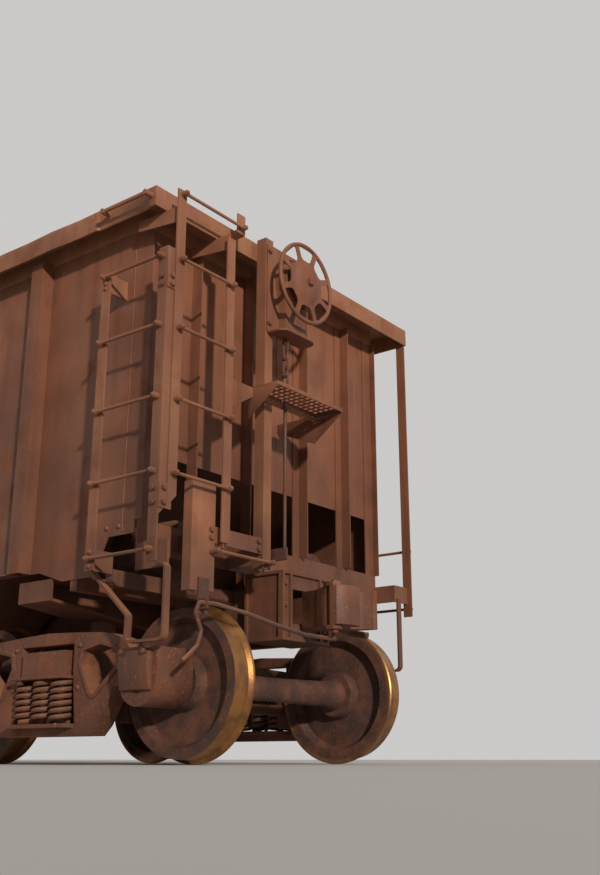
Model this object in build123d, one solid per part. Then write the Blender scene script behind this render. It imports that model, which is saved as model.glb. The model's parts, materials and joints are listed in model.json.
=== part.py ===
# Open hopper wagon on two bogies, built as an assembly.
# X runs along the wagon with the hand brake end at +X, Y across it, Z up from the flange tips.
# Lengths are millimetres. Heights named here are above the rail top; up() lifts them by the flange.
import os
from math import atan2, cos, hypot, sin

from build123d import *

os.makedirs("parts", exist_ok=True)

# Driving sizes
BODY_LENGTH = 7320
BODY_WIDTH = 2750
BODY_TOP = 3250
TRUCK_SPACING = BODY_LENGTH - 2160
WHEELBASE = 1727
WHEEL_DIAMETER = 838
FLANGE_HEIGHT = 25
COUPLER_HEIGHT = 876
COUPLER_REACH = 460

# Clearances
SHAFT_CLEARANCE = 0.05
MOVING_GAP = 6
BOWL_GAP = 0.3
BOWL_SIDE_GAP = 2

# Body plating
SHEET = 8
CHORD_DEPTH = 133
CHORD_WALL = 10
CHORD_EDGE_RADIUS = 9
SIDE_OVERHANG = 175
END_OVERHANG = 235
END_SHEET_BOTTOM = 1700

# Hopper
SLOPE_TOP = 2458
LIP_HEIGHT = 330
LIP_X = 700
DOOR_HINGE_HEIGHT = 760
DOOR_HINGE_X = 300
RIDGE_HEIGHT = 1150
HOPPER_BREAK = 1095
HOPPER_FOOT_HALF = 1000

# Underframe
SILL_HALF = 165
SILL_WALL = 12
SILL_FLANGE = 60
SILL_BOTTOM = 700
SILL_TOP = 1027
SILL_END_SETBACK = 10
HOOD_GAP = 5
HOOD_RISE = 180
BOLSTER_HALF = 150
BOLSTER_FLANGE = 16
BOLSTER_WEB = 20
BOLSTER_END_BOTTOM = 900
BOLSTER_MID_BOTTOM = 790
BOLSTER_MID_HALF = 330
CENTRE_PLATE_RADIUS = 178
CENTRE_PLATE_HEIGHT = 654
END_SILL_BOTTOM = 1110
END_SILL_TOP = 1290
END_SILL_DEPTH = 90
END_SILL_WALL = 12
END_SILL_OUT = 20
STRIKER_HALF = 235
STRIKER_BOTTOM = 690
STRIKER_TOP = END_SILL_BOTTOM
STRIKER_REACH = 60
STRIKER_MOUTH_HALF = 140
STRIKER_MOUTH_TOP = 130
STRIKER_RIB = 18
STRIKER_RIBS_Z = (690, 1092)

# Side posts: how far the outermost stand from the chord's end, and how many
POST_END_SETBACK = 1175
POST_COUNT = 5
POST_WIDTH = 110
POST_DEPTH = 95
POST_WALL = 9

# Ladders
LADDER_WIDTH = 440
STILE_WIDTH = 70
STILE_WALL = 10
RUNG_RADIUS = 10
RUNG_STAND = 20
RUNG_SPACING = 426
RUNG_TOP = 2760
RUNG_COUNT = 5
RUNG_KNOB_RADIUS = 17
STILE_BELOW_RUNG = 60
STILE_CUT_HEIGHT = 1235
SIDE_STILES_X = (-405, 75)
SIDE_STILE_LEG = 80
SIDE_STILE_TOPS = (2795, 2820)
END_LADDER_X = 120
END_STILE_TOPS = (3215, 3085)
TOP_GRAB_HEIGHT = 3186
TOP_GRAB_STAND = 45
TOP_STUB_Y = 745

# Hand brake: places are from the chord's end face, the middle plane and the rail
BRAKE_WHEEL_RADIUS = 279.5
BRAKE_RIM_RADIUS = 13
BRAKE_DISH_RADIUS = 174
BRAKE_DISH_RISE = 30
BRAKE_SPOKE_WIDTH = 20
BRAKE_WINDOW_CORNER = 30
BRAKE_WHEEL_X = 235
BRAKE_Y = -225
BRAKE_HEIGHT = 2975
BRAKE_SHAFT_RADIUS = 14
BRAKE_HOUSING_X = (75, 185)
BRAKE_HOUSING_FOOT = 2610
BRAKE_CASE_RADIUS = 145
BRAKE_COVER = 12
BRAKE_SOLE = 14
BRAKE_POST_Y = (-450, -375)
BRAKE_POST_X = 75
BRAKE_POST_FOOT = 1085
STEP_BOARD_X = (75, 305)
STEP_BOARD_Y = (-600, 70)
STEP_BOARD_HEIGHT = 2170
STEP_BOARD_WALL = 6
STEP_BOARD_EDGE = 45
CHAIN_X = 110
CHAIN_Y = -285
LINK_BAR = 8
LINK_WIDTH = 54
LINK_LENGTH = 92
LINK_COUNT = 5
LINK_SLACK = 0.4
BRAKE_ROD_RADIUS = 11
BRAKE_CRANK_HEIGHT = 1200

# Trucks
WHEEL_WIDTH = 145
BACK_TO_BACK = 1351
RIM_DEPTH = 60
HUB_RADIUS = 140
AXLE_RADIUS = 82
WHEEL_SEAT_RADIUS = 100
JOURNAL_RADIUS = 76
JOURNAL_CENTRE = 997
JOURNAL_LENGTH = 270
FRAME_CENTRE = 997
FRAME_THICKNESS = 130
BOX_HALF_LENGTH = 145
BOX_RISE = 168
LID_HALF_WIDTH = 115
LID_HEIGHT = 225
LID_LUG_RADIUS = 20
LID_LUG_HALF = 62
BOX_INNER_Y = 862
BOX_OUTER_Y = 1142
SPRING_SEAT = 200
SPRING_HEIGHT = 254
TRUCK_BOLSTER_HALF = 195
BOLSTER_END_FOOT = 470
SIDE_BEARING_Y = 635
BEARING_HALF = 55
BEARING_HEIGHT = 735

# Worked out sizes
HALF_LENGTH = BODY_LENGTH / 2
HALF_WIDTH = BODY_WIDTH / 2
POST_PITCH = (BODY_LENGTH - 2 * POST_END_SETBACK) / (POST_COUNT - 1)
POST_X = [POST_PITCH * (n - (POST_COUNT - 1) / 2) for n in range(POST_COUNT)]
SIDE_LADDER_Y = HALF_WIDTH - CHORD_WALL
SIDE_FACE = HALF_WIDTH - SIDE_OVERHANG
SIDE_INNER = SIDE_FACE - SHEET
END_LADDER_Y = SIDE_FACE - 148
END_FACE = HALF_LENGTH - END_OVERHANG
END_INNER = END_FACE - SHEET
TRUCK_X = TRUCK_SPACING / 2
AXLE_X = WHEELBASE / 2
WHEEL_RADIUS = WHEEL_DIAMETER / 2
HOOD_INNER = SILL_HALF + SILL_FLANGE + HOOD_GAP
HOOD_OUTER = HOOD_INNER + SHEET
PULLING_FACE = HALF_LENGTH + COUPLER_REACH


def up(height):
    """Height above the rail as a height above the flange tips."""
    return height + FLANGE_HEIGHT


TOP = up(BODY_TOP)
AXLE_Z = up(WHEEL_RADIUS)
COUPLER_Z = up(COUPLER_HEIGHT)


def block(x, y, z):
    """A box from its low and high X, Y and Z."""
    return Pos((x[0] + x[1]) / 2, (y[0] + y[1]) / 2, (z[0] + z[1]) / 2) * Box(
        abs(x[1] - x[0]), abs(y[1] - y[0]), abs(z[1] - z[0])
    )


def polygon(points):
    return make_face(Polyline(*points, close=True))


def side_plate(outline, y):
    """A plate of an outline drawn in X and Z, from low to high Y."""
    return extrude(Pos(0, y[1], 0) * (Plane.XZ * outline), amount=y[1] - y[0])


def side_profile(points, y):
    """A plate cut to (X, Z) points, from low to high Y."""
    return side_plate(polygon(points), y)


def end_profile(points, x):
    """A plate cut to (Y, Z) points, from low to high X."""
    face = Plane.YZ * polygon(points)
    return extrude(Pos(x[0], 0, 0) * face, amount=x[1] - x[0])


def plan_profile(points, z):
    """A plate cut to (X, Y) points, from low to high Z."""
    return extrude(Pos(0, 0, z[0]) * polygon(points), amount=z[1] - z[0])


def rod(start, end, radius):
    """A round bar between two points."""
    axis = Vector(*end) - Vector(*start)
    return extrude(Plane(origin=start, z_dir=axis) * Circle(radius), amount=axis.length)


def bent_bar(points, radius, bend):
    """A round bar along straight runs joined by arcs."""
    path = FilletPolyline(*points, radius=bend)
    return sweep(Plane(origin=path @ 0, z_dir=path % 0) * Circle(radius), path=path)


def other_end(shape):
    """The same piece at the other end, turned half round."""
    return Rot(0, 0, 180) * shape


def mirror_x(shape):
    return mirror(shape, about=Plane.YZ)


def mirror_y(shape):
    return mirror(shape, about=Plane.XZ)


def fuse(pieces):
    whole = pieces[0]
    for piece in pieces[1:]:
        whole = whole + piece
    return whole


def save(name, shape):
    export_step(shape, "parts/" + name + ".step")


def loose(pieces):
    """Separate solids that share one node."""
    solids = []
    for piece in pieces:
        solids.extend(piece.solids())
    return Compound(children=solids)


# The load space in the long section, and its cross section
SLOPE_RISE = (SLOPE_TOP - LIP_HEIGHT) / (END_INNER - LIP_X)
HEADROOM = 400


def slope_height(x):
    """Height above the rail of the slope sheet's upper face."""
    return LIP_HEIGHT + (abs(x) - LIP_X) * SLOPE_RISE


def load_space():
    half = (
        (DOOR_HINGE_X, DOOR_HINGE_HEIGHT),
        (LIP_X, LIP_HEIGHT),
        (END_INNER, SLOPE_TOP),
        (END_INNER, BODY_TOP + HEADROOM),
    )
    right = [(x, up(z)) for x, z in half]
    left = [(-x, z) for x, z in reversed(right)]
    points = [(0, up(RIDGE_HEIGHT))] + right + left
    return side_profile(points, (-HALF_WIDTH, HALF_WIDTH))


def envelope():
    """What lies between the side sheets and the sloping hopper sides."""
    half = (
        (HOPPER_FOOT_HALF, 0),
        (HOPPER_FOOT_HALF, LIP_HEIGHT),
        (SIDE_INNER, HOPPER_BREAK),
        (SIDE_INNER, BODY_TOP + HEADROOM),
    )
    right = [(y, up(z)) for y, z in half]
    left = [(-y, z) for y, z in reversed(right)]
    return end_profile(right + left, (-HALF_LENGTH, HALF_LENGTH))


def hood_points(half, foot, crown):
    shoulder = up(SILL_TOP + HOOD_GAP)
    return ((half, foot), (half, shoulder), (0, crown), (-half, shoulder), (-half, foot))


HOOD_CROWN = up(SILL_TOP + HOOD_RISE)
HOOD_FOOT = up(LIP_HEIGHT - 60)


def hood_core():
    """The room under the hood, which sheets keep out of."""
    core = hood_points(HOOD_OUTER, HOOD_FOOT, HOOD_CROWN + SHEET)
    return end_profile(core, (-END_INNER, END_INNER))


# Side sheet outline below the sill line: X and height above the rail
SKIRT = (
    (HALF_LENGTH - 235, 1215),
    (HALF_LENGTH - 450, 1215),
    (HALF_LENGTH - 560, 1000),
    (HALF_LENGTH - 830, 1000),
    (HALF_LENGTH - 1040, 1070),
)
SHEET_BOTTOM = 1070


def side_sheet():
    right = [(x, up(z)) for x, z in SKIRT]
    left = [(-x, z) for x, z in reversed(right)]
    points = [(-END_FACE, TOP), (END_FACE, TOP)] + right + left
    return side_profile(points, (-SIDE_FACE, -SIDE_INNER))


def side_post(x):
    """A pressed hat section that narrows to its foot."""
    top = TOP - CHORD_DEPTH
    foot = up(SHEET_BOTTOM)
    outer = block(
        (x - POST_WIDTH / 2, x + POST_WIDTH / 2), (-SIDE_FACE - POST_DEPTH, -SIDE_FACE), (foot, top)
    )
    inner = block(
        (x - POST_WIDTH / 2 + POST_WALL, x + POST_WIDTH / 2 - POST_WALL),
        (-SIDE_FACE - POST_DEPTH + POST_WALL, -SIDE_FACE),
        (foot, top),
    )
    return outer - inner


def side_posts():
    right = [side_post(x) for x in POST_X]
    return loose(right + [mirror_y(post) for post in right])


def side_sills():
    """Angles along the foot of each side sheet, between the bolster posts."""
    reach = POST_X[-1] - POST_WIDTH / 2
    foot = up(SHEET_BOTTOM)
    pieces = []
    for left, right in zip(POST_X[:-1], POST_X[1:]):
        run = (left + POST_WIDTH / 2, right - POST_WIDTH / 2)
        leg = block(run, (-SIDE_FACE - 10, -SIDE_FACE), (foot, foot + 90))
        shelf = block(run, (-SIDE_FACE - 75, -SIDE_FACE), (foot, foot + 10))
        pieces.append(leg + shelf)
    return loose(pieces + [mirror_y(piece) for piece in pieces])


def end_sheet():
    return block((END_INNER, END_FACE), (-SIDE_INNER, SIDE_INNER), (up(END_SHEET_BOTTOM), TOP))


def slope_sheet():
    drop = SHEET / cos(atan2(SLOPE_TOP - LIP_HEIGHT, END_INNER - LIP_X))
    points = (
        (LIP_X, up(LIP_HEIGHT)),
        (END_INNER, up(SLOPE_TOP)),
        (END_INNER, up(SLOPE_TOP) - drop),
        (LIP_X, up(LIP_HEIGHT) - drop),
    )
    plate = side_profile(points, (-SIDE_INNER, SIDE_INNER))
    return (plate & envelope()) - hood_core()


def cross_ridge():
    lean = atan2(RIDGE_HEIGHT - DOOR_HINGE_HEIGHT, DOOR_HINGE_X)
    drop = SHEET / cos(lean)
    foot_x = DOOR_HINGE_X - SHEET * sin(lean)
    foot_z = up(DOOR_HINGE_HEIGHT) - SHEET * cos(lean)
    points = (
        (0, up(RIDGE_HEIGHT)),
        (DOOR_HINGE_X, up(DOOR_HINGE_HEIGHT)),
        (foot_x, foot_z),
        (0, up(RIDGE_HEIGHT) - drop),
        (-foot_x, foot_z),
        (-DOOR_HINGE_X, up(DOOR_HINGE_HEIGHT)),
    )
    plate = side_profile(points, (-SIDE_INNER, SIDE_INNER))
    return (plate & envelope()) - hood_core()


def hopper_sides():
    """Sloping side sheets between the side sheets and the mouths."""
    points = (
        (SIDE_INNER, up(HOPPER_BREAK)),
        (SIDE_FACE, up(HOPPER_BREAK)),
        (HOPPER_FOOT_HALF + SHEET, up(LIP_HEIGHT)),
        (HOPPER_FOOT_HALF, up(LIP_HEIGHT)),
    )
    plate = end_profile(points, (-END_INNER, END_INNER)) & load_space()
    plate = plate - block((-END_INNER, END_INNER), (SIDE_INNER, SIDE_FACE), (up(SHEET_BOTTOM), TOP))
    return loose([plate, mirror_y(plate)])


def sill_hood():
    """Sheds the load off the centre sill, with skirts down to the doors."""
    outer = hood_points(HOOD_OUTER, HOOD_FOOT, HOOD_CROWN + SHEET)
    inner = hood_points(HOOD_INNER, HOOD_FOOT, HOOD_CROWN)
    reach = (-END_INNER, END_INNER)
    shell = end_profile(outer, reach) - end_profile(inner, reach)
    return shell & load_space()


def top_chord():
    """An inverted channel round the open top."""
    low = TOP - CHORD_DEPTH
    ring = block((-HALF_LENGTH, HALF_LENGTH), (-HALF_WIDTH, HALF_WIDTH), (low, TOP))
    edges = ring.edges().filter_by(Axis.Z, reverse=True).group_by(Axis.Z)[-1]
    ring = fillet(edges, CHORD_EDGE_RADIUS)
    ring = ring - block((-END_FACE, END_FACE), (-SIDE_FACE, SIDE_FACE), (low, TOP))
    groove = block(
        (-HALF_LENGTH + CHORD_WALL, HALF_LENGTH - CHORD_WALL),
        (-HALF_WIDTH + CHORD_WALL, HALF_WIDTH - CHORD_WALL),
        (low, TOP - CHORD_WALL),
    )
    core = block(
        (-END_FACE - CHORD_WALL, END_FACE + CHORD_WALL),
        (-SIDE_FACE - CHORD_WALL, SIDE_FACE + CHORD_WALL),
        (low, TOP - CHORD_WALL),
    )
    return ring - (groove - core)


def centre_sill():
    """Two webs, a top plate and outward foot flanges."""
    reach = (-END_FACE + SILL_END_SETBACK, END_FACE - SILL_END_SETBACK)
    bottom = up(SILL_BOTTOM)
    top = up(SILL_TOP)
    outer = block(reach, (-SILL_HALF, SILL_HALF), (bottom, top))
    inner = block(reach, (-SILL_HALF + SILL_WALL, SILL_HALF - SILL_WALL), (bottom, top - SILL_WALL))
    flange = block(reach, (SILL_HALF, SILL_HALF + SILL_FLANGE), (bottom, bottom + SILL_WALL))
    return outer - inner + flange + mirror_y(flange)


def body_bolster():
    """The transverse beam over a truck, with its centre plate."""
    half = (
        (SIDE_INNER, SILL_TOP),
        (SIDE_INNER, BOLSTER_END_BOTTOM),
        (BOLSTER_MID_HALF, BOLSTER_MID_BOTTOM),
        (SILL_HALF, BOLSTER_MID_BOTTOM),
        (SILL_HALF, SILL_TOP),
    )
    span = (TRUCK_X - BOLSTER_HALF, TRUCK_X + BOLSTER_HALF)
    beam = end_profile([(y, up(z)) for y, z in half], span)
    t = BOLSTER_FLANGE
    pocket = (
        (SIDE_INNER - t, SILL_TOP - t),
        (SIDE_INNER - t, BOLSTER_END_BOTTOM + t),
        (BOLSTER_MID_HALF, BOLSTER_MID_BOTTOM + t),
        (SILL_HALF, BOLSTER_MID_BOTTOM + t),
        (SILL_HALF, SILL_TOP - t),
    )
    for side in (-1, 1):
        near = TRUCK_X + side * BOLSTER_WEB / 2
        far = TRUCK_X + side * BOLSTER_HALF
        beam = beam - end_profile([(y, up(z)) for y, z in pocket], (min(near, far), max(near, far)))
    bearing = block(
        (TRUCK_X - BEARING_HALF, TRUCK_X + BEARING_HALF),
        (SIDE_BEARING_Y - BEARING_HALF, SIDE_BEARING_Y + BEARING_HALF),
        (up(BEARING_HEIGHT), up(BOLSTER_END_BOTTOM)),
    )
    beam = beam + bearing
    plate = Pos(TRUCK_X, 0, up(CENTRE_PLATE_HEIGHT)) * extrude(
        Circle(CENTRE_PLATE_RADIUS), amount=SILL_BOTTOM - CENTRE_PLATE_HEIGHT
    )
    return beam, plate


def body_bolster_node(turn):
    beam, plate = body_bolster()
    pieces = [beam, mirror_y(beam), plate]
    if turn:
        pieces = [other_end(piece) for piece in pieces]
    return loose(pieces)


SLOPE_POST_HALF = 130
SLOPE_POST_Y = 780
SLOPE_POST_WALL = 16


def slope_posts():
    """Posts from the body bolster up to the slope sheet, two at each end."""
    drop = SHEET / cos(atan2(SLOPE_TOP - LIP_HEIGHT, END_INNER - LIP_X))
    low = TRUCK_X - SLOPE_POST_HALF
    high = TRUCK_X + SLOPE_POST_HALF
    points = (
        (low, up(SILL_TOP)),
        (high, up(SILL_TOP)),
        (high, up(slope_height(high)) - drop),
        (low, up(slope_height(low)) - drop),
    )
    post = side_profile(points, (SLOPE_POST_Y, SLOPE_POST_Y + SLOPE_POST_WALL))
    pieces = [post, mirror_y(post)]
    return loose(pieces + [mirror_x(piece) for piece in pieces])


def end_sill():
    """A channel across the end, with the striker casting at its middle."""
    face = END_FACE + END_SILL_OUT
    bottom = up(END_SILL_BOTTOM)
    top = up(END_SILL_TOP)
    web = block((face - END_SILL_WALL, face), (-SIDE_INNER, SIDE_INNER), (bottom, top))
    upper = block((face - END_SILL_DEPTH, face), (-SIDE_INNER, SIDE_INNER), (top - END_SILL_WALL, top))
    beam = web + upper
    return beam


def striker():
    """The casting round the coupler's mouth, ribbed on its cheeks."""
    face = HALF_LENGTH + STRIKER_REACH
    start = END_FACE - SILL_END_SETBACK
    bottom = up(STRIKER_BOTTOM)
    top = up(STRIKER_TOP)
    rib = STRIKER_RIB
    body = block((start, face - rib), (-STRIKER_HALF, STRIKER_HALF), (bottom, top))
    for y in (-1, 1):
        for middle in (y * (STRIKER_MOUTH_HALF + rib / 2), y * (STRIKER_HALF - rib / 2)):
            body = body + block((face - rib, face), (middle - rib / 2, middle + rib / 2), (bottom, top))
    for z in STRIKER_RIBS_Z:
        body = body + block((face - rib, face), (-STRIKER_HALF, STRIKER_HALF), (up(z), up(z) + rib))
    for y in (-1, 1):
        pocket = (y * (STRIKER_HALF - rib), y * STRIKER_HALF)
        body = body - block((start + rib, face - 2 * rib), (min(pocket), max(pocket)), (bottom + rib, top - rib))
    mouth = block(
        (start, face),
        (-STRIKER_MOUTH_HALF, STRIKER_MOUTH_HALF),
        (COUPLER_Z - SHANK_HALF_HEIGHT, COUPLER_Z + STRIKER_MOUTH_TOP),
    )
    return body - mouth


KNUCKLE_HALF = 115
COUPLER_LUG = 25
COUPLER_HEAD = 190
KNUCKLE_PIN = (98, -128)
KNUCKLE_PIN_RADIUS = 20
SHANK_HALF = 62
SHANK_HALF_HEIGHT = 80
# Coupler head, guard arm side first: X from the back of the jaw and Y
HEAD_OUTLINE = (
    (-200, -62),
    (-60, -95),
    (0, -140),
    (56, -152),
    (62, -90),
    (30, -55),
    (30, 40),
    (62, 98),
    (120, 150),
    (176, 164),
    (190, 186),
    (170, 215),
    (80, 205),
    (-20, 140),
    (-60, 95),
    (-200, 62),
)
LUG_OUTLINE = ((30, -148), (30, -70), (80, -78), (128, -92), (142, -130), (118, -172), (64, -172))
KNUCKLE_OUTLINE = (
    (66, -96),
    (64, -148),
    (95, -176),
    (142, -172),
    (173, -140),
    (188, -85),
    (190, -20),
    (176, 22),
    (140, 32),
    (118, 8),
    (124, -40),
    (112, -70),
    (85, -82),
)


def coupler_plate(outline, z):
    base = PULLING_FACE - COUPLER_HEAD
    return plan_profile([(base + x, y) for x, y in outline], (COUPLER_Z + z[0], COUPLER_Z + z[1]))


def coupler():
    """Shank and head with its guard arm, lugs and knuckle pin."""
    reach = KNUCKLE_HALF + COUPLER_LUG
    base = PULLING_FACE - COUPLER_HEAD
    body = coupler_plate(HEAD_OUTLINE, (-KNUCKLE_HALF, KNUCKLE_HALF))
    for z in ((-reach, -KNUCKLE_HALF), (KNUCKLE_HALF, reach)):
        body = body + coupler_plate(LUG_OUTLINE, z)
    shank = block(
        (END_FACE + 40, base - 200),
        (-SHANK_HALF, SHANK_HALF),
        (COUPLER_Z - SHANK_HALF_HEIGHT, COUPLER_Z + SHANK_HALF_HEIGHT),
    )
    x = base + KNUCKLE_PIN[0]
    y = KNUCKLE_PIN[1]
    pin = rod((x, y, COUPLER_Z - reach - 20), (x, y, COUPLER_Z + reach + 12), KNUCKLE_PIN_RADIUS)
    return body + shank + pin


def knuckle():
    base = PULLING_FACE - COUPLER_HEAD
    x = base + KNUCKLE_PIN[0]
    y = KNUCKLE_PIN[1]
    body = coupler_plate(KNUCKLE_OUTLINE, (-KNUCKLE_HALF, KNUCKLE_HALF))
    bore = rod(
        (x, y, COUPLER_Z - KNUCKLE_HALF),
        (x, y, COUPLER_Z + KNUCKLE_HALF),
        KNUCKLE_PIN_RADIUS + SHAFT_CLEARANCE,
    )
    return body - bore


def rung(width, stand):
    """One straight rung in its own frame: X along it, Y out of the stiles, a knob at each end."""
    half = width / 2
    bar = rod((-half, stand, 0), (half, stand, 0), RUNG_RADIUS)
    knobs = [
        rod((x, 0, 0), (x, stand + RUNG_KNOB_RADIUS, 0), RUNG_KNOB_RADIUS) for x in (-half, half)
    ]
    return bar + knobs[0] + knobs[1]


def rung_heights():
    return [up(RUNG_TOP - RUNG_SPACING * step) for step in range(RUNG_COUNT)]


def cut_stile(x, y, top):
    """A stile facing along the wagon, its foot cut off at 45 degrees."""
    cut = up(STILE_CUT_HEIGHT) + SIDE_LADDER_Y
    return end_profile(((y[0], cut + y[0]), (y[1], cut + y[1]), (y[1], top), (y[0], top)), x)


def side_ladder():
    """Ladder on the near side at the B corner: a flat stile, and an angle at the corner."""
    left, right = (HALF_LENGTH + x for x in SIDE_STILES_X)
    y = -SIDE_LADDER_Y
    flat = STILE_WIDTH / 2
    bottom = rung_heights()[-1] - STILE_BELOW_RUNG
    tops = [up(z) for z in SIDE_STILE_TOPS]
    pieces = [
        block((left - flat, left + flat), (y, y + STILE_WALL), (bottom, tops[0])),
        block((right - flat, right + flat), (y, y + STILE_WALL), (bottom, tops[1])),
        cut_stile((right + flat - STILE_WALL, right + flat), (y, y + SIDE_STILE_LEG), tops[1]),
    ]
    middle = (left + right) / 2
    for z in rung_heights():
        pieces.append(Pos(middle, y, z) * Rot(0, 0, 180) * rung(right - left, RUNG_STAND))
    return fuse(pieces)


def top_grabs():
    """Grabs over the two ladders, one on the side chord and one from the stile to a stub."""
    z = up(TOP_GRAB_HEIGHT)
    left, right = (HALF_LENGTH + x for x in SIDE_STILES_X)
    right = HALF_LENGTH - STILE_WIDTH / 2
    side = Pos((left + right) / 2, -HALF_WIDTH, z) * Rot(0, 0, 180) * rung(right - left, TOP_GRAB_STAND)
    face = HALF_LENGTH + END_LADDER_X
    stile = -END_LADDER_Y - LADDER_WIDTH / 2
    middle = (stile - TOP_STUB_Y) / 2
    end = Pos(face, middle, z) * Rot(0, 0, -90) * rung(-TOP_STUB_Y - stile, RUNG_STAND)
    flat = STILE_WIDTH / 2
    stub = block(
        (face - STILE_WALL, face), (-TOP_STUB_Y - flat, -TOP_STUB_Y + flat), (z - flat, TOP + flat)
    )
    arm = block(
        (HALF_LENGTH, face), (-TOP_STUB_Y + flat - STILE_WALL, -TOP_STUB_Y + flat), (z - flat, TOP - flat)
    )
    return [side, end, stub, arm]


def end_ladder():
    """Ladder on the end at the same corner."""
    x = HALF_LENGTH + END_LADDER_X
    half = LADDER_WIDTH / 2
    flat = STILE_WIDTH / 2
    outer, inner = (-END_LADDER_Y - half, -END_LADDER_Y + half)
    tops = [up(z) for z in END_STILE_TOPS]
    pieces = [
        cut_stile((x - STILE_WALL, x), (outer - flat, outer + flat), tops[0]),
        block((x - STILE_WALL, x), (inner - flat, inner + flat), (up(TIE_PLATE_Z[0]), tops[1])),
    ]
    for z in rung_heights()[:-1]:
        pieces.append(Pos(x, -END_LADDER_Y, z) * Rot(0, 0, -90) * rung(LADDER_WIDTH, RUNG_STAND))
    return fuse(pieces)


# Plate from the corner plate to the brake post
TIE_PLATE_Z = (1170, 1265)
BRACKET_HALF = 60
BRACKET_WALL = 10
# Arms under the chord: depth at the stile and at the sheet
ARM_DEPTHS = (105, 65)
CLIP_WALL = 8
# Clips that tie the two ladders' corner stiles: middle height above the rail and half height
CLIPS = ((2610, 50), (1350, 70))


def bracket(x, y, height):
    """One bracket plate, centred on its height."""
    return block(x, y, (height - BRACKET_HALF, height + BRACKET_HALF))


def ladder_brackets():
    """Arms, clips and plates that carry the stiles off the chord, the sheets and the end sill."""
    half = LADDER_WIDTH / 2
    wall = BRACKET_WALL
    x_end = HALF_LENGTH + END_LADDER_X - STILE_WALL
    outer = -END_LADDER_Y - half
    inner = -END_LADDER_Y + half
    soffit = TOP - CHORD_DEPTH
    lower = up((END_SILL_BOTTOM + END_SILL_TOP) / 2)
    arm = ((x_end, soffit), (END_FACE, soffit), (END_FACE, soffit - ARM_DEPTHS[1]), (x_end, soffit - ARM_DEPTHS[0]))
    pieces = [side_profile(arm, (y - wall, y)) for y in (outer, inner)]
    pieces.append(bracket((END_FACE + END_SILL_OUT, x_end), (inner - wall, inner), lower))
    x_left = HALF_LENGTH + SIDE_STILES_X[0]
    x_right = HALF_LENGTH + SIDE_STILES_X[1] + STILE_WIDTH / 2
    y_side = -SIDE_LADDER_Y
    foot = rung_heights()[-1]
    for z in (up(SIDE_STILE_TOPS[0]) - BRACKET_HALF, foot):
        pieces.append(bracket((x_left, x_left + wall), (y_side + STILE_WALL, -SIDE_FACE), z))
    for height, reach in CLIPS:
        z = (up(height) - reach, up(height) + reach)
        pieces.append(block((x_right, x_right + CLIP_WALL), (y_side, outer), z))
        pieces.append(block((x_end - wall, x_end), (y_side + SIDE_STILE_LEG, outer), z))
    return pieces


CORNER_PLATE_X = 67
CORNER_PLATE_Y = (145 - SIDE_FACE, 328 - SIDE_FACE)
CORNER_PLATE_Z = (885, 1500)
CORNER_PLATE_FOLD = 65
CORNER_PLATE_FOOT_RISE = 8
CORNER_PLATE_WALL = SHEET


def corner_plate():
    """The tall plate at the ladder corner, folded back along its outer edge."""
    x = HALF_LENGTH + CORNER_PLATE_X
    low, high = (up(z) for z in CORNER_PLATE_Z)
    wall = CORNER_PLATE_WALL
    outer, inner = CORNER_PLATE_Y
    sheet = ((outer, low), (inner, low + CORNER_PLATE_FOOT_RISE), (inner, high), (outer, high))
    wide = end_profile(sheet, (x, x + wall))
    fold = block((x + wall - CORNER_PLATE_FOLD, x + wall), (outer - wall, outer), (low, high))
    tie_z = (up(TIE_PLATE_Z[0]), up(TIE_PLATE_Z[1]))
    tie = block((x - wall, x), (inner - BRACKET_HALF, BRAKE_POST_Y[0]), tie_z)
    return wide + fold + tie


def ladder_corner():
    return [side_ladder(), end_ladder(), corner_plate()] + top_grabs() + ladder_brackets()


# Sill step: X from the chord's end face and height above the rail
STEP_POINTS = (
    (-600, 1065),
    (-545, 1030),
    (-222, 750),
    (-228, 606),
    (57, 606),
    (57, 1000),
    (-10, 1020),
)
# The same at the other corner, hung from the corner post
FAR_STEP_POINTS = ((-600, 1065), (-545, 1030), (-317, 750), (-323, 606), (-38, 606), (-38, 1110))
STEP_WIDTH = 44
STEP_WALL = 14
STEP_BEND = 34
STEP_HANGER_OUT = 30
STEP_HANGER_Z = (1000, 1150)


def sill_step(points):
    """A flat bar bent to a stirrup under the side sheet."""
    path = FilletPolyline(*[(HALF_LENGTH + x, up(z)) for x, z in points], radius=STEP_BEND)
    band = trace(path, line_width=STEP_WALL)
    face = Plane.XZ * band
    return extrude(Pos(0, -SIDE_FACE, 0) * face, amount=STEP_WIDTH)


def step_hanger():
    """Plate off the end sill that carries the stirrup's outer end."""
    x = (END_FACE + END_SILL_OUT, HALF_LENGTH + STEP_HANGER_OUT)
    return block(x, (-SIDE_FACE, -SIDE_INNER + BRACKET_WALL), (up(STEP_HANGER_Z[0]), up(STEP_HANGER_Z[1])))


def sill_steps():
    """Stirrups at the four corners."""
    near = sill_step(STEP_POINTS) + step_hanger()
    far = mirror_y(sill_step(FAR_STEP_POINTS))
    return [near, other_end(near), far, other_end(far)]


HANDHOLD_STEPS = (3, 4)


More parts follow.
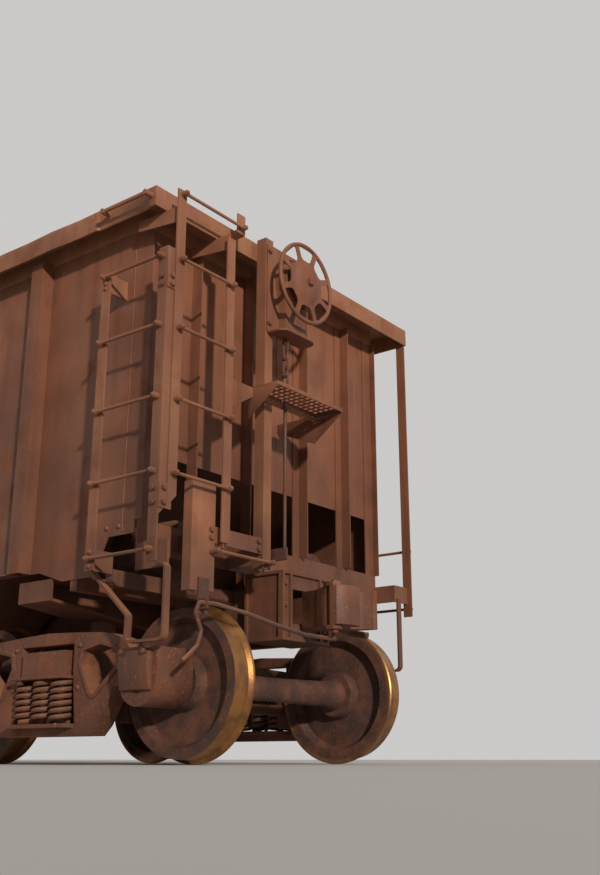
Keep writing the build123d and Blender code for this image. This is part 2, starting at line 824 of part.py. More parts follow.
def handholds():
    """A corner post and a short stile with two rungs, at the other corner of the B end."""
    flat = STILE_WIDTH / 2
    half = LADDER_WIDTH / 2
    middle = HALF_LENGTH - CHORD_WALL - flat - half
    heights = [rung_heights()[step] for step in HANDHOLD_STEPS]
    low = heights[-1] - STILE_BELOW_RUNG
    high = heights[0] + STILE_BELOW_RUNG
    y = SIDE_LADDER_Y
    x_post = middle + half
    x_stile = middle - half
    wall = BRACKET_WALL
    post = block((x_post - flat, x_post + flat), (y - STILE_WALL, y), (low, TOP - CHORD_WALL - 20))
    stile = block((x_stile - flat, x_stile + flat), (y - STILE_WALL, y), (low, high))
    pieces = [post, stile]
    for z in heights:
        pieces.append(Pos(middle, y, z) * rung(LADDER_WIDTH, RUNG_STAND))
    arm_y = (SIDE_FACE, y - STILE_WALL)
    pieces.append(bracket((x_stile - wall, x_stile), arm_y, high - 100))
    pieces.append(bracket((x_post - wall, x_post), (SIDE_INNER - wall, y - STILE_WALL), low + 150))
    pieces.append(bracket((END_FACE + END_SILL_OUT, x_post), (SIDE_INNER - wall, SIDE_INNER), low + 150))
    return fuse(pieces)


END_POSTS_Y = (-800, -300)
END_POST_WIDTH = 75
END_POST_DEPTH = 80
END_POST_WALL = 9
# Legs of the corner angle along the wagon and across it
CORNER_POST_LEGS = (50, 110)


def corner_post():
    """Angle over the seam of the end sheet and a side sheet."""
    z = (up(END_SILL_TOP), TOP - CHORD_DEPTH)
    y = -SIDE_FACE
    leg = block((END_FACE, END_FACE + SHEET), (y, y + CORNER_POST_LEGS[1]), z)
    out_leg = block((END_FACE, END_FACE + CORNER_POST_LEGS[0]), (y, y + SHEET), z)
    return leg + out_leg


def end_posts():
    """Angles on the right half of the end sheet, from the end sill to the chord."""
    pieces = []
    for y in END_POSTS_Y:
        sheet_leg = block(
            (END_FACE, END_FACE + END_POST_WALL),
            (y, y + END_POST_WIDTH),
            (up(END_SILL_TOP), TOP - CHORD_DEPTH),
        )
        out_leg = block(
            (END_FACE, END_FACE + END_POST_DEPTH),
            (y, y + END_POST_WALL),
            (up(END_SILL_TOP), TOP - CHORD_DEPTH),
        )
        pieces.append(sheet_leg + out_leg)
    return pieces


def brake_post():
    """The tall angle that carries the hand brake."""
    low, high = BRAKE_POST_Y
    x = HALF_LENGTH + BRAKE_POST_X
    z = (up(BRAKE_POST_FOOT), TOP + 20)
    face = block((x - 9, x), (low, high), z)
    web = block((HALF_LENGTH, x), (low, low + 9), z)
    tie = block((END_FACE + 20, HALF_LENGTH), (low, low + 9), (up(END_SILL_BOTTOM), up(END_SILL_TOP)))
    return face + web + tie


def brake_housing():
    """Round gear case with its cover ring over a tapering neck, on a round-fronted foot."""
    near, far = (HALF_LENGTH + x for x in BRAKE_HOUSING_X)
    z = up(BRAKE_HEIGHT)
    foot = up(BRAKE_HOUSING_FOOT)
    wide = BRAKE_CASE_RADIUS + 5
    case = rod((near, BRAKE_Y, z), (far, BRAKE_Y, z), BRAKE_CASE_RADIUS)
    ring = rod((far - 42, BRAKE_Y, z), (far - 18, BRAKE_Y, z), BRAKE_CASE_RADIUS + BRAKE_COVER)
    boss = rod((far, BRAKE_Y, z), (far + 14, BRAKE_Y, z), 45)
    back = block((near, near + 12), (BRAKE_POST_Y[0] + 10, BRAKE_Y + wide), (foot, TOP - 25))
    neck = end_profile(
        (
            (BRAKE_Y - BRAKE_CASE_RADIUS, z),
            (BRAKE_Y + BRAKE_CASE_RADIUS, z),
            (BRAKE_Y + 105, z - 190),
            (BRAKE_Y + 105, foot),
            (BRAKE_Y - 105, foot),
            (BRAKE_Y - 105, z - 190),
        ),
        (near, far - 35),
    )
    outline = polygon(
        (
            (near, BRAKE_POST_Y[0] + 20),
            (far + 30, BRAKE_POST_Y[0] + 20),
            (far + 30, BRAKE_Y + wide),
            (near, BRAKE_Y + wide),
        )
    )
    front = outline.vertices().group_by(Axis.X)[-1]
    sole = Pos(0, 0, foot - BRAKE_SOLE) * extrude(fillet(front, 70), amount=BRAKE_SOLE)
    shaft = rod((far, BRAKE_Y, z), (HALF_LENGTH + BRAKE_WHEEL_X + 45, BRAKE_Y, z), BRAKE_SHAFT_RADIUS)
    spacer = block((HALF_LENGTH, near), (BRAKE_Y - 60, BRAKE_Y + 120), (TOP - CHORD_DEPTH, TOP - 25))
    return fuse([back, case, ring, boss, neck, sole, shaft, spacer])


def brake_wheel():
    """Pressed hand wheel: a raised dish with six round-cornered windows inside its rim."""
    rim_centre = BRAKE_WHEEL_RADIUS - BRAKE_RIM_RADIUS
    bore = BRAKE_SHAFT_RADIUS + SHAFT_CLEARANCE
    rise = BRAKE_DISH_RISE
    dish = (
        (bore, -14),
        (38, -14),
        (38, rise - 8),
        (95, rise - 8),
        (BRAKE_DISH_RADIUS - 15, -7),
        (rim_centre, -7),
        (rim_centre, 0),
        (BRAKE_DISH_RADIUS - 12, 0),
        (98, rise),
        (bore, rise),
    )
    plate = revolve(Plane.XZ * polygon(dish), axis=Axis.Z)
    section = Pos(rim_centre, -3) * Rot(0, 0, 22.5) * RegularPolygon(BRAKE_RIM_RADIUS, 8)
    ring = revolve(Plane.XZ * section, axis=Axis.Z)
    spokes = [Rot(0, 0, 60 * n) * Rectangle(3 * rim_centre, BRAKE_SPOKE_WIDTH) for n in range(3)]
    area = Circle(rim_centre - BRAKE_RIM_RADIUS + 4) - Circle(BRAKE_DISH_RADIUS)
    for spoke in spokes:
        area = area - spoke
    windows = fuse(
        [extrude(Pos(0, 0, -30) * fillet(face.vertices(), BRAKE_WINDOW_CORNER), amount=60) for face in area.faces()]
    )
    place = Pos(HALF_LENGTH + BRAKE_WHEEL_X, BRAKE_Y, up(BRAKE_HEIGHT))
    return place * Rot(0, 90, 0) * (plate - windows + ring)


def step_board():
    """Slotted standing board beside the hand brake, edges turned down."""
    near, far = (HALF_LENGTH + x for x in STEP_BOARD_X)
    z = up(STEP_BOARD_HEIGHT)
    low, high = STEP_BOARD_Y
    board = block((near, far), (low, high), (z, z + STEP_BOARD_WALL))
    for x in (near, far - STEP_BOARD_WALL):
        board = board + block((x, x + STEP_BOARD_WALL), (low, high), (z - STEP_BOARD_EDGE, z))
    pitch_x = (far - near - 60) / 4
    pitch_y = (high - low - 60) / 12
    slots = []
    for row in range(4):
        for column in range(12):
            x = near + 30 + pitch_x * (row + 0.5)
            y = low + 30 + pitch_y * (column + 0.5)
            slots.append(block((x - 15, x + 15), (y - 17, y + 17), (z - 1, z + STEP_BOARD_WALL + 1)))
    for slot in slots:
        board = board - slot
    for y in (low, high - 8):
        points = ((near, z), (far, z), (far, z - STEP_BOARD_EDGE), (near, z - 190))
        board = board + side_profile(points, (y, y + 8))
    stay = ((END_FACE, z), (near, z), (near, z - 190), (END_FACE, z - 60))
    board = board + side_profile(stay, (high - 8, high))
    x_stile = HALF_LENGTH + END_LADDER_X - STILE_WALL
    y_stile = -END_LADDER_Y + LADDER_WIDTH / 2
    arm = ((y_stile, z), (low + 30, z), (low + 30, z - 40), (y_stile, z - 200))
    gusset = end_profile(arm, (x_stile - 8, x_stile))
    hole = rod(
        (HALF_LENGTH + CHAIN_X, CHAIN_Y, z - 2),
        (HALF_LENGTH + CHAIN_X, CHAIN_Y, z + STEP_BOARD_WALL + 2),
        BRAKE_ROD_RADIUS + 12,
    )
    return board + gusset - hole


LINK_PITCH = LINK_LENGTH - 4 * LINK_BAR - LINK_SLACK


def link(turned):
    """One flat chain link standing on end, its middle at the origin."""
    ring = SlotOverall(LINK_LENGTH, LINK_WIDTH, rotation=90) - SlotOverall(
        LINK_LENGTH - 4 * LINK_BAR, LINK_WIDTH - 4 * LINK_BAR, rotation=90
    )
    flat = extrude(Plane.XZ * (Pos(0, 0, -LINK_BAR) * ring), amount=2 * LINK_BAR)
    return Rot(0, 0, 90 if turned else 0) * flat


def brake_chain():
    """Links from the gear case, then the pull rod down to the crank on the end sill."""
    x = HALF_LENGTH + CHAIN_X
    top = up(BRAKE_HOUSING_FOOT) - BRAKE_SOLE - LINK_LENGTH / 2
    links = []
    for n in range(LINK_COUNT):
        links.append(Pos(x, CHAIN_Y, top - LINK_PITCH * n) * link(n % 2 == 1))
    low = top - LINK_PITCH * (LINK_COUNT - 1) - LINK_LENGTH / 2 + LINK_BAR
    crank_z = up(BRAKE_CRANK_HEIGHT)
    pull = rod((x, CHAIN_Y, crank_z), (x, CHAIN_Y, low), BRAKE_ROD_RADIUS)
    crank = block(
        (END_FACE + END_SILL_OUT, x + 20), (CHAIN_Y - 8, CHAIN_Y + 8), (crank_z - 45, crank_z + 30)
    )
    return links[:-1] + [links[-1] + pull + crank]


# Uncoupling lever: X from the chord's end face, Y, and height above the rail
LEVER_POINTS = (
    (120, -1150, 495),
    (120, -1040, 580),
    (120, -1010, 665),
    (120, -1060, 755),
    (125, -1040, 812),
    (150, -930, 812),
    (250, -786, 768),
    (300, -560, 715),
    (300, -330, 690),
    (300, -35, 690),
)
LEVER_BEND = 24
LEVER_HANGER_Y = (-1003, -920)
LEVER_HANGER_FOOT = 760
LEVER_HANGER_TOP = 960
LEVER_RADIUS = 12


def uncoupling_lever():
    """Bent bar with its handle, a hanger on the corner plate and the lifting link."""
    points = [(HALF_LENGTH + x, y, up(z)) for x, y, z in LEVER_POINTS]
    bar = bent_bar(points, LEVER_RADIUS, LEVER_BEND)
    face = HALF_LENGTH + CORNER_PLATE_X + CORNER_PLATE_WALL
    reach = HALF_LENGTH + LEVER_POINTS[5][0]
    low, high = LEVER_HANGER_Y
    foot = up(LEVER_HANGER_FOOT)
    hanger = block((face, face + STILE_WALL), (low, high), (foot, up(LEVER_HANGER_TOP)))
    eye = block((face, reach), (low, low + STILE_WALL), (up(LEVER_POINTS[5][2]) - 30, up(LEVER_POINTS[5][2]) + 30))
    x, y, z = points[-1]
    y = y - LEVER_RADIUS
    lift = rod((x, y, z - LEVER_RADIUS / 2), (x, y, COUPLER_Z - KNUCKLE_HALF), LEVER_RADIUS - 2)
    return bar + hanger + eye + lift


LOW_GRAB_INSET = 30


def low_grab():
    """Grab iron between the corner plate and the brake post."""
    near = CORNER_PLATE_Y[1] - LOW_GRAB_INSET
    far = BRAKE_POST_Y[0] + LOW_GRAB_INSET
    face = HALF_LENGTH + BRAKE_POST_X
    z = up(BRAKE_POST_FOOT + LOW_GRAB_INSET)
    return Pos(face, (near + far) / 2, z) * Rot(0, 0, -90) * rung(far - near, TOP_GRAB_STAND)


AIR_BEAMS_X = (END_FACE - 525, END_FACE - 225)
AIR_BEAM_WIDTH = 60
AIR_BEAM_DEPTH = 90
CYLINDER_RADIUS = 150
RESERVOIR_RADIUS = 165
AIR_Y = 620
SADDLE = 60


def platform_beams():
    """Cross beams beside the centre sill that carry the air brake gear."""
    pieces = []
    for x in AIR_BEAMS_X:
        pieces.append(
            block(
                (x, x + AIR_BEAM_WIDTH),
                (SILL_HALF, SIDE_INNER),
                (up(SILL_TOP - AIR_BEAM_DEPTH), up(SILL_TOP)),
            )
        )
    pieces = pieces + [mirror_y(piece) for piece in pieces]
    return loose(pieces + [mirror_x(piece) for piece in pieces])


def saddles(radius, y):
    """Blocks between the cross beams and a round tank."""
    z = up(SILL_TOP) + SADDLE + radius
    pieces = []
    for x in AIR_BEAMS_X:
        seat = block(
            (x, x + AIR_BEAM_WIDTH), (y - radius * 0.7, y + radius * 0.7), (up(SILL_TOP), z - radius * 0.5)
        )
        pieces.append(seat)
    return pieces, z


def brake_cylinder():
    pieces, z = saddles(CYLINDER_RADIUS, AIR_Y)
    body = rod((AIR_BEAMS_X[0] - 60, AIR_Y, z), (AIR_BEAMS_X[1] + 90, AIR_Y, z), CYLINDER_RADIUS)
    flange = rod((AIR_BEAMS_X[0] - 85, AIR_Y, z), (AIR_BEAMS_X[0] - 55, AIR_Y, z), CYLINDER_RADIUS + 22)
    nose = rod((AIR_BEAMS_X[0] - 150, AIR_Y, z), (AIR_BEAMS_X[0] - 80, AIR_Y, z), 55)
    return fuse([body, flange, nose] + pieces)


def air_reservoir():
    pieces, z = saddles(RESERVOIR_RADIUS, AIR_Y)
    body = rod((AIR_BEAMS_X[0] - 130, AIR_Y, z), (AIR_BEAMS_X[1] + 130, AIR_Y, z), RESERVOIR_RADIUS)
    return fuse([body] + pieces)


VALVE_BRACKET = (140, 120, 200)
VALVE_BODIES = ((-1, 62, 140), (1, 54, 120))
VALVE_TRAY = 14


def control_valve():
    """The pipe bracket on its tray, with a valve body bolted to each face."""
    x = -(AIR_BEAMS_X[0] + AIR_BEAMS_X[1] + AIR_BEAM_WIDTH) / 2
    y = -AIR_Y
    z = up(SILL_TOP) + VALVE_TRAY
    length, width, height = VALVE_BRACKET
    tray = block(
        (-AIR_BEAMS_X[1] - AIR_BEAM_WIDTH, -AIR_BEAMS_X[0]), (y - width, y + width), (up(SILL_TOP), z)
    )
    body = tray + block((x - length / 2, x + length / 2), (y - width / 2, y + width / 2), (z, z + height))
    for side, radius, reach in VALVE_BODIES:
        near = x + side * length / 2
        body = body + rod((near, y, z + height / 2), (near + side * reach, y, z + height / 2), radius)
    return body


PIPE_RADIUS = 21
# Train pipe from the middle to the B end: X, Y and height above the rail
PIPE_POINTS = (
    (TRUCK_X - 380, 105, 850),
    (HALF_LENGTH + 70, 105, 850),
    (HALF_LENGTH + 170, 300, 770),
    (HALF_LENGTH + 290, 330, 745),
)


PIPE_CLIPS_X = (TRUCK_X - 280, END_FACE - 225)


def brake_pipe():
    """The train pipe inside the centre sill, clipped to its webs."""
    right = [(x, y, up(z)) for x, y, z in PIPE_POINTS]
    left = [(-x, -y, z) for x, y, z in reversed(right)]
    pipe = bent_bar(left + right, PIPE_RADIUS, 50)
    x0, y0, z0 = right[0]
    for x in PIPE_CLIPS_X:
        clip = block((x - 20, x + 20), (y0, SILL_HALF - SILL_WALL), (z0 - 8, z0 + 8))
        pipe = pipe + clip + other_end(clip)
    return pipe


def wheel():
    """One wheel on the right-hand side, as a turned section in (Y, radius)."""
    back = BACK_TO_BACK / 2
    front = back + WHEEL_WIDTH
    r = WHEEL_RADIUS
    rim = r - RIM_DEPTH
    hub_back = back - 20
    hub_front = back + 155
    section = (
        (hub_back, WHEEL_SEAT_RADIUS),
        (hub_back, HUB_RADIUS),
        (back + 40, HUB_RADIUS + 20),
        (back + 62, rim - 30),
        (back + 20, rim),
        (back, rim),
        (back, r + FLANGE_HEIGHT - 8),
        (back + 8, r + FLANGE_HEIGHT),
        (back + 20, r + FLANGE_HEIGHT - 3),
        (back + 38, r + 3),
        (back + 75, r),
        (front, r - 4),
        (front, rim),
        (back + 92, rim - 30),
        (back + 85, HUB_RADIUS + 20),
        (hub_front, HUB_RADIUS),
        (hub_front, WHEEL_SEAT_RADIUS),
    )
    face = Plane.YZ * polygon(section)
    return revolve(face, axis=Axis.Y)


def axle():
    back = BACK_TO_BACK / 2
    seat_in = back - 20
    seat_out = back + 155
    end = JOURNAL_CENTRE + JOURNAL_LENGTH / 2
    half = (
        (0, AXLE_RADIUS - 10),
        (seat_in - 120, AXLE_RADIUS),
        (seat_in - 20, WHEEL_SEAT_RADIUS),
        (seat_out, WHEEL_SEAT_RADIUS),
        (seat_out + 12, JOURNAL_RADIUS),
        (end, JOURNAL_RADIUS),
    )
    right = list(half)
    left = [(-y, r) for y, r in reversed(half[1:])]
    points = [(-end, 0)] + left + right + [(end, 0)]
    face = Plane.YZ * polygon(points)
    return revolve(face, axis=Axis.Y)


def wheelset(x):
    right = wheel()
    whole = axle() + right + mirror_y(right)
    return Pos(x, 0, AXLE_Z) * whole


# Truck side frame: X from the truck centre and height above the rail
FRAME_HALF = (
    (0, 728),
    (240, 718),
    (494, 702),
    (661, 657),
    (AXLE_X - BOX_HALF_LENGTH, 585),
    (AXLE_X, 560),
    (AXLE_X, 330),
    (AXLE_X - BOX_HALF_LENGTH, 385),
    (586, 395),
    (461, 190),
    (400, 132),
    (0, 128),
)
FRAME_WINDOW = ((330, 606), (473, 636), (600, 600), (628, 525), (529, 440), (420, 350), (375, 425), (318, 530))
FRAME_WINDOW_CORNER = 24
FRAME_LIP = 24
FRAME_LIP_OUT = 12
# Opening for the bolster and springs: half width and height above the rail
BOLSTER_OPENING = ((238, 655), (238, 500), (278, SPRING_SEAT))
SEAT_HALF = (270, 146)
SEAT_WALL = 22


def journal_box(x):
    """Flat-topped box with a round belly, from its open back to its lid."""
    half = BOX_HALF_LENGTH
    upper = block((x - half, x + half), (BOX_INNER_Y, BOX_OUTER_Y), (AXLE_Z, AXLE_Z + BOX_RISE))
    belly = rod((x, BOX_INNER_Y, AXLE_Z), (x, BOX_OUTER_Y, AXLE_Z), half)
    return upper + belly


def side_frame():
    """One cast side frame with lipped windows, its boxes bored for the journals."""
    right = [(x, up(z)) for x, z in FRAME_HALF]
    left = [(-x, z) for x, z in reversed(right[1:-1])]
    inner = FRAME_CENTRE - FRAME_THICKNESS / 2
    outer = FRAME_CENTRE + FRAME_THICKNESS / 2
    frame = side_profile(right + left, (inner, outer))
    window = polygon([(x, up(z)) for x, z in FRAME_WINDOW])
    window = fillet(window.vertices(), FRAME_WINDOW_CORNER)
    lip = offset(window, amount=FRAME_LIP)
    raised = side_plate(lip, (outer, outer + FRAME_LIP_OUT))
    hole = side_plate(window, (inner, outer + FRAME_LIP_OUT))
    frame = frame + raised + mirror_x(raised) - hole - mirror_x(hole)
    half = [(x, up(z)) for x, z in BOLSTER_OPENING]
    opening = half + [(-x, z) for x, z in reversed(half)]
    frame = frame - side_profile(opening, (inner, outer + FRAME_LIP_OUT))
    for x in (-AXLE_X, AXLE_X):
        frame = frame + journal_box(x)
        frame = frame - rod(
            (x, BOX_INNER_Y, AXLE_Z), (x, BOX_OUTER_Y, AXLE_Z), JOURNAL_RADIUS + SHAFT_CLEARANCE
        )
    shelf = block(
        (-SEAT_HALF[0], SEAT_HALF[0]),
        (FRAME_CENTRE - SEAT_HALF[1], FRAME_CENTRE + SEAT_HALF[1]),
        (up(SPRING_SEAT - SEAT_WALL), up(SPRING_SEAT)),
    )
    return frame + shelf


def journal_lid(x):
    """Sloping lid on the box front, hung from a lug along its top."""
    top = AXLE_Z + BOX_RISE
    half = LID_HALF_WIDTH
    points = (
        (BOX_OUTER_Y, top - LID_LUG_RADIUS),
        (BOX_OUTER_Y + 40, top - 28),
        (BOX_OUTER_Y + 46, top - 95),
        (BOX_OUTER_Y + 24, top - LID_HEIGHT),
        (BOX_OUTER_Y, top - LID_HEIGHT - 10),
    )
    plate = end_profile(points, (x - half, x + half))
    lug_y = BOX_OUTER_Y + LID_LUG_RADIUS
    lug_z = top - LID_LUG_RADIUS
    lug = rod((x - LID_LUG_HALF, lug_y, lug_z), (x + LID_LUG_HALF, lug_y, lug_z), LID_LUG_RADIUS)
    return plate + lug


# Truck bolster: Y and height above the rail
BOLSTER_OUTLINE = (
    (0, 400),
    (420, 400),
    (820, BOLSTER_END_FOOT),
    (1090, BOLSTER_END_FOOT),
    (1090, 618),
    (820, 625),
    (400, 650),
    (0, 650),
)
BOWL_WALL = 30
BOWL_FOOT = 600


def truck_bolster():
    """Beam across the truck with its centre bowl and side bearings."""
    bowl_floor = up(CENTRE_PLATE_HEIGHT) - BOWL_GAP
    right = [(y, up(z)) for y, z in BOLSTER_OUTLINE]
    left = [(-y, z) for y, z in reversed(right[1:-1])]
    beam = end_profile(right + left, (-TRUCK_BOLSTER_HALF, TRUCK_BOLSTER_HALF))
    rim = Pos(0, 0, up(BOWL_FOOT)) * extrude(Circle(CENTRE_PLATE_RADIUS + BOWL_WALL), amount=80)
    bowl = Pos(0, 0, bowl_floor) * extrude(Circle(CENTRE_PLATE_RADIUS + BOWL_SIDE_GAP), amount=100)
    beam = beam + rim - bowl
    for y in (-SIDE_BEARING_Y, SIDE_BEARING_Y):
        side = (y - BEARING_HALF, y + BEARING_HALF)
        beam = beam + block((-90, 90), side, (up(BOWL_FOOT), up(BEARING_HEIGHT - MOVING_GAP)))
    return beam


# Coil places on one spring seat: X and Y from the seat's centre
COILS = ((-158, -72), (0, -72), (158, -72), (-158, 72), (0, 72), (158, 72))
COIL_RADIUS = 68
SPRING_CAP_HALF = (236, 146)


def spring_group():
    """Six coils under their cap plate, as closed cylinders at the loaded height."""
    seat = up(SPRING_SEAT)
    top = seat + SPRING_HEIGHT
    coils = []
    for x, y in COILS:
        coils.append(Pos(x, FRAME_CENTRE + y, seat) * extrude(Circle(COIL_RADIUS), amount=SPRING_HEIGHT))
    half_x, half_y = SPRING_CAP_HALF
    cap = block((-half_x, half_x), (FRAME_CENTRE - half_y, FRAME_CENTRE + half_y), (top, up(BOLSTER_END_FOOT)))
    return fuse([cap] + coils)


BRAKE_BEAM_HEIGHT = 330
BRAKE_BEAM_HALF = 32
SHOE_Y = 748
SHOE_THICKNESS = 75
SHOE_HALF_WIDTH = 45
SHOE_HALF_HEIGHT = 120


def brake_beam(side):
    """A beam between a truck's wheels with a shoe at each end."""
    x = side * (AXLE_X - WHEEL_RADIUS - SHOE_THICKNESS)
    z = up(BRAKE_BEAM_HEIGHT)
    reach = FRAME_CENTRE - FRAME_THICKNESS / 2
    half = BRAKE_BEAM_HALF
    whole = block((x - half, x + half), (-reach, reach), (z - half, z + half))
    clear = WHEEL_RADIUS + FLANGE_HEIGHT + MOVING_GAP
    for y in (-SHOE_Y, SHOE_Y):
        run = (y - SHOE_HALF_WIDTH, y + SHOE_HALF_WIDTH)
        shoe = block((x - side * half, x + side * 60), run, (z - SHOE_HALF_HEIGHT, z + SHOE_HALF_HEIGHT))
        round_wheel = rod((side * AXLE_X, run[0], AXLE_Z), (side * AXLE_X, run[1], AXLE_Z), clear)
        whole = whole + shoe - round_wheel
    return whole


def truck_pieces(end, sign):
    """All the pieces of one truck, set at its place."""
    place = Pos(sign * TRUCK_X, 0, 0)
    turn = Rot(0, 0, 0 if sign > 0 else 180)
    near = side_frame()
    lids = [journal_lid(x) for x in (-AXLE_X, AXLE_X)]
    coils = spring_group()
    nodes = {
        "side_frame_left": near,
        "side_frame_right": mirror_y(near),
        "bolster": truck_bolster(),
        "springs": loose([coils, mirror_y(coils)]),
        "journal_lids": loose(lids + [mirror_y(lid) for lid in lids]),
        "brake_beams": loose([brake_beam(-1), brake_beam(1)]),
        "wheelset_outer": wheelset(AXLE_X),
        "wheelset_inner": wheelset(-AXLE_X),
    }
    for name, shape in nodes.items():
        save("truck_" + end + "_" + name, place * turn * shape)


# Door plane of the B mouth: across, down the slope and out of the hopper
DOOR_RUN = hypot(LIP_X - DOOR_HINGE_X, DOOR_HINGE_HEIGHT - LIP_HEIGHT)
DOOR_DOWN = ((LIP_X - DOOR_HINGE_X) / DOOR_RUN, -(DOOR_HINGE_HEIGHT - LIP_HEIGHT) / DOOR_RUN)
DOOR_OUT = (DOOR_DOWN[1], -DOOR_DOWN[0])
DOOR_PLATE = 10
DOOR_PIN_OUT = 45
DOOR_PIN_RADIUS = 14
DOOR_LUG_RADIUS = 28
DOOR_LUG_WIDTH = 40
DOOR_LUGS_Y = (330, 640, 950)
BODY_LUG_WIDTH = 25
BODY_LUG_RADIUS = 23
BODY_LUGS_Y = (HOOD_OUTER, 485, 795, 1000)
BODY_LUG_BACK = (36, 90)
DOOR_EDGE_GAPS = (8, 4)
DOOR_INNER = SILL_HALF + SILL_FLANGE + MOVING_GAP + 1
DOOR_RIB_DEPTH = 60
DOOR_RIB_WALL = 12
DOOR_SPREADER = (60, 10)


def door_plane():
    return Plane(
        origin=(DOOR_HINGE_X, 0, up(DOOR_HINGE_HEIGHT)),
        x_dir=(0, 1, 0),
        z_dir=(DOOR_OUT[0], 0, DOOR_OUT[1]),
    )


def door_pin():
    """The hinge axis as X and Z."""
    return (
        DOOR_HINGE_X + DOOR_PIN_OUT * DOOR_OUT[0],
        up(DOOR_HINGE_HEIGHT) + DOOR_PIN_OUT * DOOR_OUT[1],
    )


def hopper_half(height):
    """Half width inside the sloping hopper sides at a height above the rail."""
    share = (height - LIP_HEIGHT) / (HOPPER_BREAK - LIP_HEIGHT)
    return HOPPER_FOOT_HALF + share * (SIDE_INNER - HOPPER_FOOT_HALF)


def door_leaf():
    """One leaf with its ribs and its bored hinge lugs."""
    upper = hopper_half(DOOR_HINGE_HEIGHT) + SHEET
    lower = HOPPER_FOOT_HALF + SHEET
    start = DOOR_EDGE_GAPS[0]
    stop = DOOR_RUN - DOOR_EDGE_GAPS[1]
    outline = polygon(((DOOR_INNER, start), (upper, start), (lower, stop), (DOOR_INNER, stop)))
    leaf = Pos(0, 0, MOVING_GAP) * extrude(outline, amount=DOOR_PLATE)
    back = MOVING_GAP + DOOR_PLATE
    spread = (stop - DOOR_SPREADER[0], stop - DOOR_SPREADER[1])
    deep = (back, back + DOOR_RIB_DEPTH)
    for y in DOOR_LUGS_Y:
        rib = (y - DOOR_LUG_WIDTH / 2, y + DOOR_LUG_WIDTH / 2)
        leaf = leaf + block((y - DOOR_RIB_WALL / 2, y + DOOR_RIB_WALL / 2), (40, spread[0]), deep)
        lug = rod((rib[0], 0, DOOR_PIN_OUT), (rib[1], 0, DOOR_PIN_OUT), DOOR_LUG_RADIUS)
        tongue = block(rib, (4, 120), (back - 2, DOOR_PIN_OUT + 5))
        leaf = leaf + lug + tongue
    leaf = leaf + block((DOOR_INNER, lower - 20), spread, deep)
    pin = rod((0, 0, DOOR_PIN_OUT), (SIDE_INNER, 0, DOOR_PIN_OUT), DOOR_PIN_RADIUS + SHAFT_CLEARANCE)
    return leaf - pin


def hopper_door():
    """Two leaves joined by the spreader along their free edges."""
    back = MOVING_GAP + DOOR_PLATE
    leaf = door_leaf()
    stop = DOOR_RUN - DOOR_EDGE_GAPS[1]
    spread = (stop - DOOR_SPREADER[0], stop - DOOR_SPREADER[1])
    spreader = block((-DOOR_INNER, DOOR_INNER), spread, (back, back + DOOR_RIB_DEPTH))
    pair = leaf + mirror(leaf, about=Plane.YZ) + spreader
    return door_plane().location * pair


def under_ridge(back):
    """Underside of the cross ridge, measured back from its hinge edge."""
    rise = RIDGE_HEIGHT - DOOR_HINGE_HEIGHT
    drop = SHEET / cos(atan2(rise, DOOR_HINGE_X))
    return up(DOOR_HINGE_HEIGHT) + back * rise / DOOR_HINGE_X - drop


def body_hinge():
    """Hinge pin of one leaf with the lugs that hold it."""
    px, pz = door_pin()
    near, far = BODY_LUG_BACK
    outline = (
        (DOOR_HINGE_X - near, under_ridge(near)),
        (DOOR_HINGE_X - far, under_ridge(far)),
        (px - BODY_LUG_RADIUS, pz),
        (px, pz),
    )
    pieces = [rod((px, BODY_LUGS_Y[0], pz), (px, BODY_LUGS_Y[-1] + 20, pz), DOOR_PIN_RADIUS)]
    for y in BODY_LUGS_Y:
        web = side_profile(outline, (y, y + BODY_LUG_WIDTH))
        eye = rod((px, y, pz), (px, y + BODY_LUG_WIDTH, pz), BODY_LUG_RADIUS)
        pieces.append(web + eye)
    return fuse(pieces)


def main():
    sheet = side_sheet()
    save("side_sheet_right", sheet)
    save("side_sheet_left", mirror_y(sheet))
    save("side_posts", side_posts())
    save("side_sills", side_sills())
    save("end_sheet_b", end_sheet())
    save("end_sheet_a", mirror_x(end_sheet()))
    save("slope_sheet_b", slope_sheet())
    save("slope_sheet_a", mirror_x(slope_sheet()))
    save("cross_ridge", cross_ridge())
    save("hopper_sides", hopper_sides())
    save("sill_hood", sill_hood())
    save("top_chord", top_chord())
    save("centre_sill", centre_sill())
    for end, sign in (("b", 1), ("a", -1)):
        save("body_bolster_" + end, body_bolster_node(sign < 0))
        truck_pieces(end, sign)
        place = mirror_x if sign < 0 else (lambda shape: shape)
        save("end_sill_" + end, place(end_sill() + striker()))
        turn = other_end if sign < 0 else (lambda shape: shape)
        save("coupler_" + end, turn(coupler()))
        save("knuckle_" + end, turn(knuckle()))
        save("ladder_" + end, turn(fuse(ladder_corner())))
        save("hopper_door_" + end, place(hopper_door()))
        save("uncoupling_lever_" + end, turn(uncoupling_lever()))
    hinges = body_hinge()
    both = [hinges, mirror_y(hinges)]
    save("door_hinges", loose(both + [mirror_x(piece) for piece in both]))
    save("sill_steps", loose(sill_steps()))
    grabs = handholds()
    save("handholds", loose([grabs, other_end(grabs)]))
    posts = end_posts() + [corner_post()]
    posts = posts + [mirror_y(post) for post in posts]
    save("end_posts", loose(posts + [mirror_x(post) for post in posts]))
    save("platform_beams", platform_beams())
    save("slope_posts", slope_posts())
    save("brake_post", brake_post() + low_grab())
    save("brake_housing", brake_housing())
    save("brake_wheel", brake_wheel())
    save("step_board", step_board())
    save("brake_chain", loose(brake_chain()))
    save("brake_cylinder", brake_cylinder())
    save("air_reservoir", mirror_y(air_reservoir()))
    save("control_valve", control_valve())
    save("brake_pipe", brake_pipe())


main()
